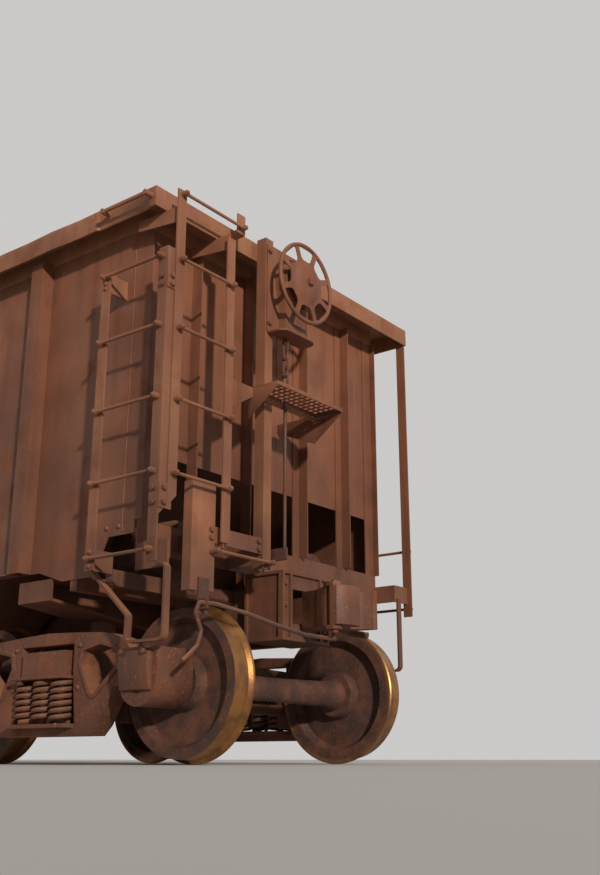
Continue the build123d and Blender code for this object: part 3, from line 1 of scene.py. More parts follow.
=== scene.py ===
# %% [markdown]
# # An open hopper wagon, finished in Blender
# The wagon's plates, bogies and ladders arrive as a fixed frame of solids, in metres.
# X runs along the wagon to the hand brake end, Y across it and Z up from the flange tips.
# Here the camera and the light come first, then the paint and rust, then the small pieces.

# %% Load the frame
import json
from math import atan, cos, degrees, pi, radians, sin

import bpy
from mathutils import Matrix, Vector


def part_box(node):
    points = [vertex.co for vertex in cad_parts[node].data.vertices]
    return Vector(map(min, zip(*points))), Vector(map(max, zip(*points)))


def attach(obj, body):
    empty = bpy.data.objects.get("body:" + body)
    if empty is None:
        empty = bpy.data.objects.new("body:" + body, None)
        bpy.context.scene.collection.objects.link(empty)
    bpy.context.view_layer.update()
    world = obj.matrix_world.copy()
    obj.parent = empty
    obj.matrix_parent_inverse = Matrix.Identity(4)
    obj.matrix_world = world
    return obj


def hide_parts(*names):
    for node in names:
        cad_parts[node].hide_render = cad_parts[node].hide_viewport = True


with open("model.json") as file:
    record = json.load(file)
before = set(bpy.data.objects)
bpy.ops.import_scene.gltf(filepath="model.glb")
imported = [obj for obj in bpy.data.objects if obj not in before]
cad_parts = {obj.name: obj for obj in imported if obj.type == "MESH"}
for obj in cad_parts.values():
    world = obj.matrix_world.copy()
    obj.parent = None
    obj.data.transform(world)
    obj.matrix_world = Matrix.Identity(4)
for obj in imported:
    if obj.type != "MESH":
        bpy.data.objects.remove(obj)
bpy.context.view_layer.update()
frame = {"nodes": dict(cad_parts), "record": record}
nodes = frame["nodes"]
scene = bpy.context.scene
bpy.ops.object.select_all(action="DESELECT")

# %% [markdown]
# ## Sizes that the pieces share
# A piece that sits on a solid needs the solid's place. The few that aren't read from a node's box
# are written here once, so that a change moves everything that hangs on them. The wagon's ends are
# called a and b, and b, at +X, has the hand brake.

# %% Shared sizes
RAIL = 0.025
HALF_LENGTH = 3.660
HALF_WIDTH = 1.375
SIDE_FACE = 1.200
END_FACE = 3.425
BOGIE_X = 2.580
AXLE_OUT = 0.8635
AXLE_Z = 0.419 + RAIL
WHEEL_R = 0.419
ENDS = (("a", -1), ("b", 1))
SIDES = (-1, 1)
print("bogies at", -BOGIE_X, BOGIE_X, "axles", AXLE_OUT, "out from each")

# %% [markdown]
# ## Camera
# The photographer stood low beside the track, near one corner, and looked up at it.
# The place, the turn and the lens were worked out from known points of the wagon in the picture:
# the chord's corners, the ladder rungs and the wheel. The camera is kept just above the floor.

# %% Camera
CAMERA_AT = Vector((7.61, -5.10, 0.03))
CAMERA_YAW = 37.7
CAMERA_PITCH = 17.36
CAMERA_LENS = 42.37
camera_data = bpy.data.cameras.new("camera")
camera = bpy.data.objects.new("camera", camera_data)
scene.collection.objects.link(camera)
camera.location = CAMERA_AT
camera.rotation_euler = (radians(90 + CAMERA_PITCH), 0, radians(CAMERA_YAW))
camera_data.sensor_fit = "VERTICAL"
camera_data.sensor_height = 36
camera_data.lens = CAMERA_LENS
camera_data.clip_end = 400
scene.camera = camera
print("camera sees", round(2 * degrees(atan(18 / CAMERA_LENS)), 1), "degrees of height")

# %% [markdown]
# ## Light and floor
# The shadows of the rungs and stiles show where the sun stood: low, and more towards the wagon's
# end than its side. One soft sun lamp comes from there. The world fills the shadows. A camera ray
# sees a pale background instead of the fill light, so the backdrop adds no light of its own.

# %% Sun
SUN_TOWARDS = Vector((-1.7, 1.0, -0.55))
SUN_STRENGTH = 3.0
sun_data = bpy.data.lights.new("key_sun", "SUN")
sun_data.energy = SUN_STRENGTH
sun_data.angle = radians(3)
sun_data.color = (1.0, 0.94, 0.86)
sun = bpy.data.objects.new("key_sun", sun_data)
scene.collection.objects.link(sun)
sun.rotation_euler = SUN_TOWARDS.to_track_quat("-Z", "Y").to_euler()
sun.location = (6, -8, 9)
print("sun", sun_data.energy)

# %% World light
FILL_STRENGTH = 0.28
world = bpy.data.worlds.new("studio")
scene.world = world
world.use_nodes = True
tree = world.node_tree
tree.nodes.clear()
out = tree.nodes.new("ShaderNodeOutputWorld")
fill = tree.nodes.new("ShaderNodeBackground")
fill.inputs["Color"].default_value = (1.0, 0.97, 0.94, 1)
fill.inputs["Strength"].default_value = FILL_STRENGTH
backdrop = tree.nodes.new("ShaderNodeBackground")
backdrop.inputs["Color"].default_value = (0.60, 0.585, 0.575, 1)
backdrop.inputs["Strength"].default_value = 1.0
path = tree.nodes.new("ShaderNodeLightPath")
either = tree.nodes.new("ShaderNodeMath")
either.operation = "MAXIMUM"
tree.links.new(path.outputs["Is Camera Ray"], either.inputs[0])
tree.links.new(path.outputs["Is Glossy Ray"], either.inputs[1])
pick = tree.nodes.new("ShaderNodeMixShader")
tree.links.new(either.outputs[0], pick.inputs[0])
tree.links.new(fill.outputs[0], pick.inputs[1])
tree.links.new(backdrop.outputs[0], pick.inputs[2])
tree.links.new(pick.outputs[0], out.inputs["Surface"])
scene.view_settings.view_transform = "Standard"
print("fill", FILL_STRENGTH)

# %% Floor
bpy.ops.mesh.primitive_plane_add(size=160, location=(0, 0, 0))
floor = bpy.context.object
floor.name = "floor"
floor_paint = bpy.data.materials.new("pale_floor")
floor_paint.use_nodes = True
floor_shader = floor_paint.node_tree.nodes["Principled BSDF"]
floor_shader.inputs["Base Color"].default_value = (0.62, 0.60, 0.58, 1)
floor_shader.inputs["Roughness"].default_value = 0.9
floor.data.materials.append(floor_paint)
print("floor", floor.dimensions[:2])

# %% [markdown]
# ## Weathered paint
# The wagon is oxide-red paint under years of ore dust. Several things show on it: large patches
# where the paint has faded, stains, long streaks that rain has drawn downwards, specks of rust,
# and a darkening that grows towards the rail. Each is a noise pattern on object
# coordinates, stretched along Z for the streaks and faded in by height for the darkening.
# Dust is mixed in where a face looks up, and a slow swell in the bump keeps sheets from
# looking ruler-flat.


# %% Material helpers
def srgb(red, green, blue):
    """A screen colour from 0 to 255 as the linear colour that a shader takes."""
    channels = []
    for value in (red, green, blue):
        c = value / 255
        channels.append(c / 12.92 if c <= 0.04045 else ((c + 0.055) / 1.055) ** 2.4)
    return (*channels, 1)


class Recipe:
    """A material's node tree, with short calls for the patterns that all finishes share."""

    def __init__(self, name):
        self.material = bpy.data.materials.new(name)
        self.material.use_nodes = True
        self.tree = self.material.node_tree
        self.shader = self.tree.nodes["Principled BSDF"]
        self.coords = self.tree.nodes.new("ShaderNodeTexCoord").outputs["Object"]

    def add(self, kind, **settings):
        node = self.tree.nodes.new(kind)
        for name, value in settings.items():
            setattr(node, name, value)
        return node

    def link(self, start, end):
        self.tree.links.new(start, end)

    def noise(self, scale, detail=4.0, stretch=(1, 1, 1), shift=(0, 0, 0)):
        """A noise pattern; a small stretch draws it out, and a shift shows another part of it."""
        mapping = self.add("ShaderNodeMapping")
        mapping.inputs["Scale"].default_value = stretch
        mapping.inputs["Location"].default_value = shift
        self.link(self.coords, mapping.inputs["Vector"])
        pattern = self.add("ShaderNodeTexNoise")
        pattern.inputs["Scale"].default_value = scale
        pattern.inputs["Detail"].default_value = detail
        self.link(mapping.outputs[0], pattern.inputs["Vector"])
        return pattern.outputs["Fac"]

    def between(self, value, low, high):
        """0 below low, 1 above high and smooth between."""
        ramp = self.add("ShaderNodeMapRange", interpolation_type="SMOOTHSTEP")
        ramp.inputs["From Min"].default_value = low
        ramp.inputs["From Max"].default_value = high
        self.link(value, ramp.inputs["Value"])
        return ramp.outputs["Result"]

    def math(self, operation, a, b=0.0):
        node = self.add("ShaderNodeMath", operation=operation)
        for socket, value in zip(node.inputs, (a, b)):
            if isinstance(value, (int, float)):
                socket.default_value = value
            else:
                self.link(value, socket)
        return node.outputs[0]

    def mix(self, share, under, over):
        """Colour under, covered by colour over where share is 1."""
        node = self.add("ShaderNodeMix", data_type="RGBA")
        sockets = (node.inputs["Factor"], node.inputs["A"], node.inputs["B"])
        for socket, value in zip(sockets, (share, under, over)):
            if isinstance(value, (tuple, float, int)):
                socket.default_value = value
            else:
                self.link(value, socket)
        return node.outputs["Result"]

    def upward(self):
        """How far a face looks up, from 0 to 1."""
        facing = self.add("ShaderNodeNewGeometry")
        split = self.add("ShaderNodeSeparateXYZ")
        self.link(facing.outputs["Normal"], split.inputs[0])
        return self.between(split.outputs["Z"], 0.25, 0.95)

    def axis(self, name):
        """One of the three object coordinates."""
        split = self.add("ShaderNodeSeparateXYZ")
        self.link(self.coords, split.inputs[0])
        return split.outputs[name]

    def bump(self, height, strength, distance):
        node = self.add("ShaderNodeBump")
        node.inputs["Strength"].default_value = strength
        node.inputs["Distance"].default_value = distance
        self.link(height, node.inputs["Height"])
        self.link(node.outputs[0], self.shader.inputs["Normal"])

    def colour(self, value):
        self.link(value, self.shader.inputs["Base Color"])

    def rough(self, value):
        self.link(value, self.shader.inputs["Roughness"])


print("helpers ready")


# %% Weathered steel
# The dark brown that the paint is darkened towards lower down, most strongly at the rail.
LOW_DARK = srgb(56, 38, 31)
LOW_DARK_Z = (2.8, 1.1)


def weathered(name, paint, faded, rust, dust, streaks=0.34, specks=0.5, grain=0.0015):
    """Old paint on steel: patches, rain streaks, rust, darkening low down and dust on what looks
    up.
    """
    r = Recipe(name)
    dark = tuple(0.50 * c for c in paint[:3]) + (1,)
    patches = r.between(r.noise(1.1, 5), 0.36, 0.66)
    colour = r.mix(patches, paint, faded)
    blotches = r.between(r.noise(4.5, 7, shift=(3, 1, 2)), 0.50, 0.64)
    colour = r.mix(r.math("MULTIPLY", blotches, 0.42), colour, rust)
    stains = r.between(r.noise(2.6, 6, stretch=(1.0, 1.0, 0.7), shift=(5, 9, 1)), 0.52, 0.72)
    colour = r.mix(r.math("MULTIPLY", stains, 0.42), colour, dark)
    runs = r.between(r.noise(9, 5, stretch=(1.0, 1.0, 0.07)), 0.50, 0.68)
    colour = r.mix(r.math("MULTIPLY", runs, streaks), colour, dark)
    pale_runs = r.between(r.noise(18, 4, stretch=(1.0, 1.0, 0.05), shift=(7, 3, 0)), 0.56, 0.72)
    colour = r.mix(r.math("MULTIPLY", pale_runs, streaks * 0.6), colour, dust)
    # Darker towards the bottom, in patches, from 2.8 m down to 1.1 m and below.
    low = r.between(r.axis("Z"), *LOW_DARK_Z)
    darker_low = r.math("MULTIPLY", low, r.between(r.noise(1.9, 6), 0.25, 0.60))
    colour = r.mix(r.math("MULTIPLY", darker_low, 0.55), colour, LOW_DARK)
    spots = r.between(r.noise(60, 8, shift=(1, 5, 3)), 0.58, 0.68)
    colour = r.mix(r.math("MULTIPLY", spots, specks), colour, rust)
    pits = r.between(r.noise(95, 6, shift=(8, 2, 6)), 0.62, 0.70)
    colour = r.mix(r.math("MULTIPLY", pits, specks * 0.8), colour, dark)
    colour = r.mix(r.math("MULTIPLY", r.upward(), 0.7), colour, dust)
    r.colour(colour)
    r.rough(r.math("ADD", 0.60, r.math("MULTIPLY", blotches, 0.28)))
    swell = r.noise(2.2, 2, shift=(4, 4, 4))
    coarse = r.noise(35, 6)
    fine = r.noise(230, 3)
    relief = r.math("ADD", r.math("MULTIPLY", coarse, 1.6), fine)
    r.bump(r.math("ADD", relief, r.math("MULTIPLY", swell, 14.0)), 0.45, grain)
    return r.material


# %% Colours and finishes
OXIDE = srgb(110, 65, 45)
# Rubbed paint for ladders, handholds, brake post and chord: worn, and made paler as painted
# sunlight.
OXIDE_FADED = srgb(134, 84, 59)
RUBBED_SUNLIT_OXIDE = srgb(128, 80, 57)
RUBBED_SUNLIT_FADED = srgb(152, 101, 72)
RUBBED_SUNLIT_DUST = srgb(172, 124, 88)
DARK_RUST = srgb(76, 48, 37)
DARK_FADED = srgb(94, 58, 42)
CAST = srgb(104, 60, 41)
CAST_FADED = srgb(128, 76, 50)
CAST_RUST = srgb(140, 78, 46)
SPRING = srgb(96, 58, 42)
SPRING_FADED = srgb(118, 72, 50)
BARE = srgb(96, 56, 40)
BARE_FADED = srgb(120, 72, 50)
RUST = srgb(128, 74, 46)
DUST = srgb(160, 112, 78)
finishes = {
    "body_paint": weathered("oxide_paint", OXIDE, OXIDE_FADED, RUST, DUST),
    "rubbed_sunlit_paint": weathered("rubbed_sunlit_paint", RUBBED_SUNLIT_OXIDE, RUBBED_SUNLIT_FADED, RUST, RUBBED_SUNLIT_DUST, 0.25),
    "underframe_paint": weathered("dark_rust", DARK_RUST, DARK_FADED, RUST, DUST, 0.3, 0.6),
    "cast_steel": weathered("rusty_casting", CAST, CAST_FADED, CAST_RUST, DUST, 0.3, 0.8, 0.003),
    "spring_steel": weathered("spring_rust", SPRING, SPRING_FADED, RUST, DUST, 0.1, 0.7),
    "bare_rust": weathered("bare_rust", BARE, BARE_FADED, RUST, DUST, 0.1, 0.9, 0.002),
}
print(len(finishes), "finishes")

# %% [markdown]
# ## Wheels
# A rolling wheel keeps a bright band on its tread and flange, while its plate stays rusty.
# The band is found from the distance to the axle, so each wheelset gets the same recipe
# with its own axle place.


# %% Wheel steel
BAND_INNER = (0.672, 0.680)
BAND_OUTER = (0.812, 0.820)
PLATE_DARK = srgb(62, 41, 34)
PLATE_RUST = srgb(96, 58, 42)
PLATE_SPECK = srgb(128, 72, 44)
TREAD_BRIGHT = srgb(160, 112, 62)
TREAD_DULL = srgb(112, 72, 47)


def wheel_steel(name, axle_x):
    """Rusty plate with a bright band, for the wheels on an axle at this X."""
    r = Recipe(name)
    dx = r.math("SUBTRACT", r.axis("X"), axle_x)
    dz = r.math("SUBTRACT", r.axis("Z"), AXLE_Z)
    radius = r.math("SQRT", r.math("ADD", r.math("MULTIPLY", dx, dx), r.math("MULTIPLY", dz, dz)))
    across = r.math("ABSOLUTE", r.axis("Y"))
    past_inner = r.between(across, *BAND_INNER)
    past_outer = r.between(across, *BAND_OUTER)
    on_wheel = r.math("MULTIPLY", past_inner, r.math("SUBTRACT", 1.0, past_outer))
    tread = r.math("MULTIPLY", r.between(radius, WHEEL_R - 0.006, WHEEL_R - 0.002), on_wheel)
    grime = r.between(r.noise(9, 6), 0.35, 0.7)
    rusty = r.mix(grime, PLATE_DARK, PLATE_RUST)
    specks = r.between(r.noise(70, 7), 0.58, 0.7)
    rusty = r.mix(r.math("MULTIPLY", specks, 0.7), rusty, PLATE_SPECK)
    worn = r.mix(r.between(r.noise(8, 5), 0.35, 0.70), TREAD_BRIGHT, TREAD_DULL)
    r.colour(r.mix(tread, rusty, worn))
    r.link(r.math("MULTIPLY", tread, 0.70), r.shader.inputs["Metallic"])
    r.rough(r.math("SUBTRACT", 0.78, r.math("MULTIPLY", tread, 0.42)))
    r.bump(r.noise(60, 6), 0.4, 0.0015)
    return r.material


print("wheel recipe ready")

# %% [markdown]
# ## Finishes on the frame's nodes
# The solids keep their shapes and only get a material, chosen by the slot that the record gives
# them. Ladders, handholds, brake post and chord are rubbed and sunlit, so their paint is paler.

# %% Finishes on the nodes
slot_of = {part["node"]: part["material_slot"] for part in frame["record"]["subparts"]}


def dress(name, material):
    """Give a node this material alone."""
    mesh = nodes[name].data
    mesh.materials.clear()
    mesh.materials.append(material)


RUBBED_AND_SUNLIT = ("ladder_a", "ladder_b", "brake_post", "handholds", "top_chord")
for name in nodes:
    if "wheelset" in name:
        low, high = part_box(name)
        dress(name, wheel_steel("steel_" + name, (low[0] + high[0]) / 2))
    elif name in RUBBED_AND_SUNLIT:
        dress(name, finishes["rubbed_sunlit_paint"])
    else:
        dress(name, finishes[slot_of[name]])
print("dressed", len(nodes), "nodes")

# %% [markdown]
# ## Helpers for the small pieces
# A bolt, a coil or a link is modelled once and copied to its places, each copy with its own mesh.
# The copies are then joined, so that one piece holds all the bolts of one body and rides on it.


# %% Selecting and placing
def choose(objects):
    """Select these objects and nothing else, with the first one active."""
    bpy.ops.object.select_all(action="DESELECT")
    for item in objects:
        item.select_set(True)
    bpy.context.view_layer.objects.active = objects[0]


def place(at, towards):
    """A matrix that puts a model's origin at a point and turns its +Z towards a direction."""
    turn = Vector(towards).to_track_quat("Z", "Y").to_matrix().to_4x4()
    return Matrix.Translation(at) @ turn


def twin(model, matrix):
    """A copy of a model with its own mesh."""
    copy = model.copy()
    copy.data = model.data.copy()
    scene.collection.objects.link(copy)
    copy.matrix_world = matrix
    return copy


def discard(model):
    """Delete a model whose copies are made."""
    choose([model])
    bpy.ops.object.delete()


def apply_place(item):
    """Move an object's place, turn and scale into its mesh."""
    choose([item])
    bpy.ops.object.transform_apply(location=True, rotation=True, scale=True)
    return item


print("placing helpers ready")


# %% Joining and hanging
def join(objects, name):
    """One object at the origin from several."""
    choose(objects)
    if len(objects) > 1:
        bpy.ops.object.join()
    piece = bpy.context.object
    bpy.ops.object.transform_apply(location=True, rotation=True, scale=True)
    piece.name = name
    piece.data.name = name
    return piece


def settle(objects, name, finish, body, angle=35):
    """Join, smooth, paint and hang the piece on its body.

    The record has no slot of its own for rubbed paint, which is the body's paint, worn, and made
    paler as painted sunlight."""
    piece = join(objects, name)
    bpy.ops.object.shade_smooth_by_angle(angle=radians(angle))
    piece.data.materials.clear()
    piece.data.materials.append(finishes[finish])
    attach(piece, body)
    return piece


print("joining helpers ready")


# %% Edit mode, plates and bars
def edit(item):
    """Open one object in edit mode with all of it selected."""
    choose([item])
    bpy.ops.object.mode_set(mode="EDIT")
    bpy.ops.mesh.select_all(action="SELECT")


def leave_edit():
    """Turn all faces outwards and go back to object mode."""
    bpy.ops.mesh.select_all(action="SELECT")
    bpy.ops.mesh.normals_make_consistent(inside=False)
    bpy.ops.object.mode_set(mode="OBJECT")


def plate(centre, size, edge=0.003):
    """A flat plate with its edges eased, at the origin's axes."""
    bpy.ops.mesh.primitive_cube_add(size=1, location=centre)
    item = bpy.context.object
    item.scale = size
    apply_place(item)
    edit(item)
    bpy.ops.mesh.bevel(offset=edge, segments=2, affect="EDGES")
    leave_edit()
    return item


def round_bar(start, end, radius, sides=14):
    """A bar between two points, its end edges eased."""
    start = Vector(start)
    run = Vector(end) - start
    bpy.ops.mesh.primitive_cylinder_add(vertices=sides, radius=radius, depth=run.length)
    item = bpy.context.object
    item.matrix_world = place(start + run / 2, run)
    apply_place(item)
    edit(item)
    bpy.ops.mesh.select_all(action="DESELECT")
    bpy.ops.object.mode_set(mode="OBJECT")
    for face in item.data.polygons:
        face.select = len(face.vertices) > 4
    bpy.ops.object.mode_set(mode="EDIT")
    bpy.ops.mesh.bevel(offset=radius * 0.15, segments=2, affect="EDGES")
    leave_edit()
    return item


print("plate and bar ready")

# %% [markdown]
# ## Bolt and rivet heads
# Two heads serve the whole wagon: a six-sided nut on a washer, and a domed rivet.
# Both stand on Z = 0 and point up, so that a place needs only a point and a direction.

# %% Model of the bolt head
WASHER_THICK = 0.004
NUT_HIGH = 0.014
bpy.ops.mesh.primitive_cylinder_add(
    vertices=18, radius=0.019, depth=WASHER_THICK, location=(0, 0, WASHER_THICK / 2)
)
washer = bpy.context.object
bpy.ops.mesh.primitive_cylinder_add(
    vertices=6, radius=0.0155, depth=NUT_HIGH, location=(0, 0, WASHER_THICK + NUT_HIGH / 2)
)
head = bpy.context.object
edit(head)
bpy.ops.mesh.bevel(offset=0.0015, segments=1, affect="EDGES")
leave_edit()
bolt = join([washer, head], "bolt_model")
print("bolt faces", len(bolt.data.polygons))

# %% Model of the rivet head
RIVET_DOME = 0.72
bpy.ops.mesh.primitive_uv_sphere_add(segments=14, ring_count=8, radius=0.014)
rivet = bpy.context.object
edit(rivet)
bpy.ops.mesh.bisect(plane_co=(0, 0, 0), plane_no=(0, 0, 1), clear_inner=True, use_fill=True)
bpy.ops.transform.resize(value=(1, 1, RIVET_DOME))
leave_edit()
rivet.name = "rivet_model"
print("rivet faces", len(rivet.data.polygons))

# %% [markdown]
# ## Where the heads go
# The ladder's rungs end in round heads, and two clips tie the corner stiles with four bolts each.
# A row is written as its points and the way that its heads face. What sits at one corner sits
# at the opposite corner too, turned half round, except on the hand brake, which is at one end only.

# %% Places on a ladder corner
RUNG_STEP = 0.426
RUNGS_Z = [2.785 - RUNG_STEP * n for n in range(5)]
TOP_RUNG_Z = 3.211
NEAR = (0, -1, 0)
FAR = (0, 1, 0)
OUT = (1, 0, 0)
STILE_Y = -1.365
KNOB = 0.037
SIDE_STILES_X = (HALF_LENGTH - 0.405, HALF_LENGTH + 0.075)
END_STILES_Y = (-1.272, -0.832)
LADDER_X = HALF_LENGTH + 0.120
STUB_Y = -0.745
CLIPS_Z = ((2.635, 0.026), (1.375, 0.040))
CLIP_X = HALF_LENGTH + 0.118
CLIP_Y = -1.333
GUSSET_RIVETS_Z = (2.718, 2.750, 1.042, 1.121)
PLATE_FACE_X = HALF_LENGTH + 0.075
TIE_BOLTS_Z = (1.219, 1.266)
TIE_BOLT_Y = -0.905
SILL_RIVETS_X = (3.10, 3.20, 3.30)
SILL_RIVET_Z = 1.290
print("rungs at", [round(z, 3) for z in RUNGS_Z], "and", TOP_RUNG_Z)

# %% Heads on a ladder corner
ladder_heads = []
for z in RUNGS_Z:
    ladder_heads += [("rivet", (x, STILE_Y - KNOB, z), NEAR) for x in SIDE_STILES_X]
for z in RUNGS_Z[:-1] + [TOP_RUNG_Z]:
    ladder_heads.append(("rivet", (LADDER_X + KNOB, END_STILES_Y[0], z), OUT))
for z in RUNGS_Z[:-1]:
    ladder_heads.append(("rivet", (LADDER_X + KNOB, END_STILES_Y[1], z), OUT))
ladder_heads.append(("rivet", (LADDER_X + KNOB, STUB_Y, TOP_RUNG_Z), OUT))
for middle, reach in CLIPS_Z:
    for z in (middle - reach, middle + reach):
        ladder_heads.append(("bolt", (SIDE_STILES_X[1], STILE_Y, z), NEAR))
        ladder_heads.append(("bolt", (CLIP_X, CLIP_Y, z), OUT))
ladder_heads += [("rivet", (SIDE_STILES_X[0], STILE_Y, z), NEAR) for z in GUSSET_RIVETS_Z]
ladder_heads += [("bolt", (PLATE_FACE_X, TIE_BOLT_Y, z), OUT) for z in TIE_BOLTS_Z]
ladder_heads += [("rivet", (x, -SIDE_FACE, SILL_RIVET_Z), NEAR) for x in SILL_RIVETS_X]
print(len(ladder_heads), "heads on a ladder corner")

# %% Heads on a handhold corner and the end sill
FAR_FACE_Y = 1.402
FAR_STILES_X = (HALF_LENGTH - 0.045, HALF_LENGTH - 0.485)
STRIKER_X = HALF_LENGTH + 0.042
STRIKER_Y = 0.195
far_heads = []
for z in RUNGS_Z[3:]:
    far_heads += [("rivet", (x, FAR_FACE_Y, z), FAR) for x in FAR_STILES_X]
sill_heads = []
for y in (-STRIKER_Y, STRIKER_Y):
    sill_heads += [("bolt", (STRIKER_X, y, z), OUT) for z in (0.80, 0.93, 1.06)]
print(len(far_heads), "on a handhold corner,", len(sill_heads), "on an end sill")

# %% Heads on the hand brake
POST_BOLTS_X = HALF_LENGTH + 0.087
LOW_GRAB_X = HALF_LENGTH + 0.137
CASE_FACE_X = HALF_LENGTH + 0.167
CASE_AT = (-0.225, 3.000)
CASE_RING = 0.149
brake_heads = [("bolt", (PLATE_FACE_X - 0.008, -0.480, z), OUT) for z in TIE_BOLTS_Z]
for y in (-0.425, -0.100):
    brake_heads += [("bolt", (POST_BOLTS_X, y, z), OUT) for z in (2.690, 3.200)]
for y in (-0.902, -0.420):
    brake_heads.append(("rivet", (LOW_GRAB_X, y, 1.140), OUT))
for step in range(8):
    turn = step * pi / 4 + pi / 8
    y = CASE_AT[0] + CASE_RING * cos(turn)
    z = CASE_AT[1] + CASE_RING * sin(turn)
    brake_heads.append(("rivet", (CASE_FACE_X, y, z), OUT))
print(len(brake_heads), "heads on the hand brake")

# %% Setting the body's heads
models = {"bolt": bolt, "rivet": rivet}
both_ends = ladder_heads + far_heads + sill_heads
body_heads = []
for kind, at, towards in both_ends + brake_heads:
    body_heads.append(twin(models[kind], place(at, towards)))
half_round = Matrix.Rotation(pi, 4, "Z")
for kind, at, towards in both_ends:
    body_heads.append(twin(models[kind], half_round @ place(at, towards)))
settle(body_heads, "body_heads", "body_paint", "body")
print(len(body_heads), "heads on the body")

# %% [markdown]
# ## Coil springs
# In the frame of solids a coil is a closed cylinder of the right size. Here each one becomes a bar
# wound six times round, by a screw modifier on a circle, and the set keeps its flat cap plate.

# %% One coil
COIL_RADIUS = 0.054
COIL_BAR = 0.014
COIL_FOOT = 0.200 + RAIL
COIL_HIGH = 0.254
COIL_TURNS = 6
COIL_PITCH = (COIL_HIGH - 2 * COIL_BAR) / COIL_TURNS
COILS_X = (-0.158, 0, 0.158)
COILS_Y = (-0.072, 0.072)
CAP_Z = 0.487
FRAME_Y = 0.997
bpy.ops.mesh.primitive_circle_add(
    vertices=10, radius=COIL_BAR, location=(COIL_RADIUS, 0, COIL_BAR), rotation=(pi / 2, 0, 0)
)
coil = apply_place(bpy.context.object)
winding = coil.modifiers.new("winding", "SCREW")
winding.axis = "Z"
winding.angle = 2 * pi
winding.screw_offset = COIL_PITCH
winding.iterations = COIL_TURNS
winding.steps = 20
winding.render_steps = 20
bpy.ops.object.modifier_apply(modifier="winding")
edit(coil)
bpy.ops.mesh.remove_doubles(threshold=0.0001)
bpy.ops.mesh.fill_holes(sides=0)
leave_edit()
print("one coil has", len(coil.data.polygons), "faces")

# %% Coil sets
for end, sign in ENDS:
    parts = []
    for side in SIDES:
        y = side * FRAME_Y
        for number, dx in enumerate(COILS_X):
            for dy in COILS_Y:
                spot = Matrix.Translation((sign * BOGIE_X + dx, y + dy, COIL_FOOT))
                parts.append(twin(coil, spot @ Matrix.Rotation(1.3 * (number - 1), 4, "Z")))
        parts.append(plate((sign * BOGIE_X, y, CAP_Z), (0.472, 0.292, 0.016)))
    piece = settle(parts, "coils_" + end, "spring_steel", "truck_" + end)
    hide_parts("truck_%s_springs" % end)
discard(coil)
print("coils", len(piece.data.polygons), "faces a truck")

# %% [markdown]
# ## Castings with worn edges
# Side frames, couplers, lids and the gear case are castings, so their edges are round, not sharp.
# They could be modelled anew, but the solids already have the right form. So a copy of each is
# welded along its seams, its flat areas are cleared of triangle edges, and a bevel modifier eases
# what is left. The pressed standing board goes the same way, and its front lip is then drawn up
# to the thin edge that the picture shows.


# %% Copy with eased edges
def cast_copy(node, name, finish, body, edge, segments=2):
    """A softened copy of a solid that stands in for it."""
    copy = nodes[node].copy()
    copy.data = nodes[node].data.copy()
    scene.collection.objects.link(copy)
    copy.parent = None
    copy.matrix_world = nodes[node].matrix_world
    edit(copy)
    bpy.ops.mesh.remove_doubles(threshold=0.00005)
    bpy.ops.mesh.dissolve_limited(angle_limit=radians(1.5))
    leave_edit()
    soft = copy.modifiers.new("soft_edges", "BEVEL")
    soft.width = edge
    soft.segments = segments
    soft.limit_method = "ANGLE"
    soft.angle_limit = radians(40)
    soft.harden_normals = False
    bpy.ops.object.modifier_apply(modifier="soft_edges")
    piece = settle([copy], name, finish, body, 40)
    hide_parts(node)
    return piece


print("copy helper ready")

# %% Castings
for end in "ab":
    truck = "truck_" + end
    for side in ("left", "right"):
        casting = "%s_side_frame_%s" % (truck, side)
        cast_copy(casting, "frame_%s_%s" % (end, side), "cast_steel", truck, 0.009, 3)
    cast_copy(truck + "_journal_lids", "lids_" + end, "cast_steel", truck, 0.006)
    cast_copy("coupler_" + end, "coupler_head_" + end, "cast_steel", "body", 0.007)
    cast_copy("knuckle_" + end, "coupler_knuckle_" + end, "cast_steel", "body", 0.010, 3)
gear_case = cast_copy("brake_housing", "gear_case", "body_paint", "body", 0.004)
print("gear case", len(gear_case.data.polygons), "faces")

# %% Standing board
LIP_X = HALF_LENGTH + 0.297
LIP_FOOT = 2.150
LIP_RISE = 0.026
board = cast_copy("step_board", "standing_board", "body_paint", "body", 0.0012)
for vertex in board.data.vertices:
    if vertex.co.x > LIP_X and vertex.co.z < LIP_FOOT + 0.004:
        vertex.co.z += LIP_RISE
print("board", len(board.data.polygons), "faces")

# %% [markdown]
# ## Bolts on the bogies
# Each side frame has two rivets on either column, where its wear plates sit, and two bolts on
# either lid. They turn with the bogie, so they are pieces of their own.

# %% Heads on the bogies
LID_Y = 1.186
LID_BOLTS_X = (-0.085, 0.085)
LID_BOLT_Z = 0.585
COLUMN_Y = 1.062
COLUMNS_X = (-0.292, 0.292)
COLUMN_RIVETS_Z = (0.40 + RAIL, 0.64 + RAIL)
for end, sign in ENDS:
    parts = []
    for side in SIDES:
        for x in (-AXLE_OUT, AXLE_OUT):
            for dx in LID_BOLTS_X:
                at = (sign * BOGIE_X + x + dx, side * LID_Y, LID_BOLT_Z)
                parts.append(twin(bolt, place(at, (0, side, 0))))
        for x in COLUMNS_X:
            for z in COLUMN_RIVETS_Z:
                at = (sign * BOGIE_X + x, side * COLUMN_Y, z)
                parts.append(twin(rivet, place(at, (0, side, 0))))
    settle(parts, "bogie_heads_" + end, "cast_steel", "truck_" + end)
print("bogie heads", len(parts), "a truck")

# %% [markdown]
# ## Hand brake wheel
# The wheel is a pressed plate with a tube for a rim. The plate's section is wound round by a screw
# modifier, and eight round-cornered windows are punched through it by a boolean modifier, as a
# press does it. A torus makes the rim, and a square nut holds the wheel on its shaft.
# The section below gives the plate's points as a distance from the shaft and a height.

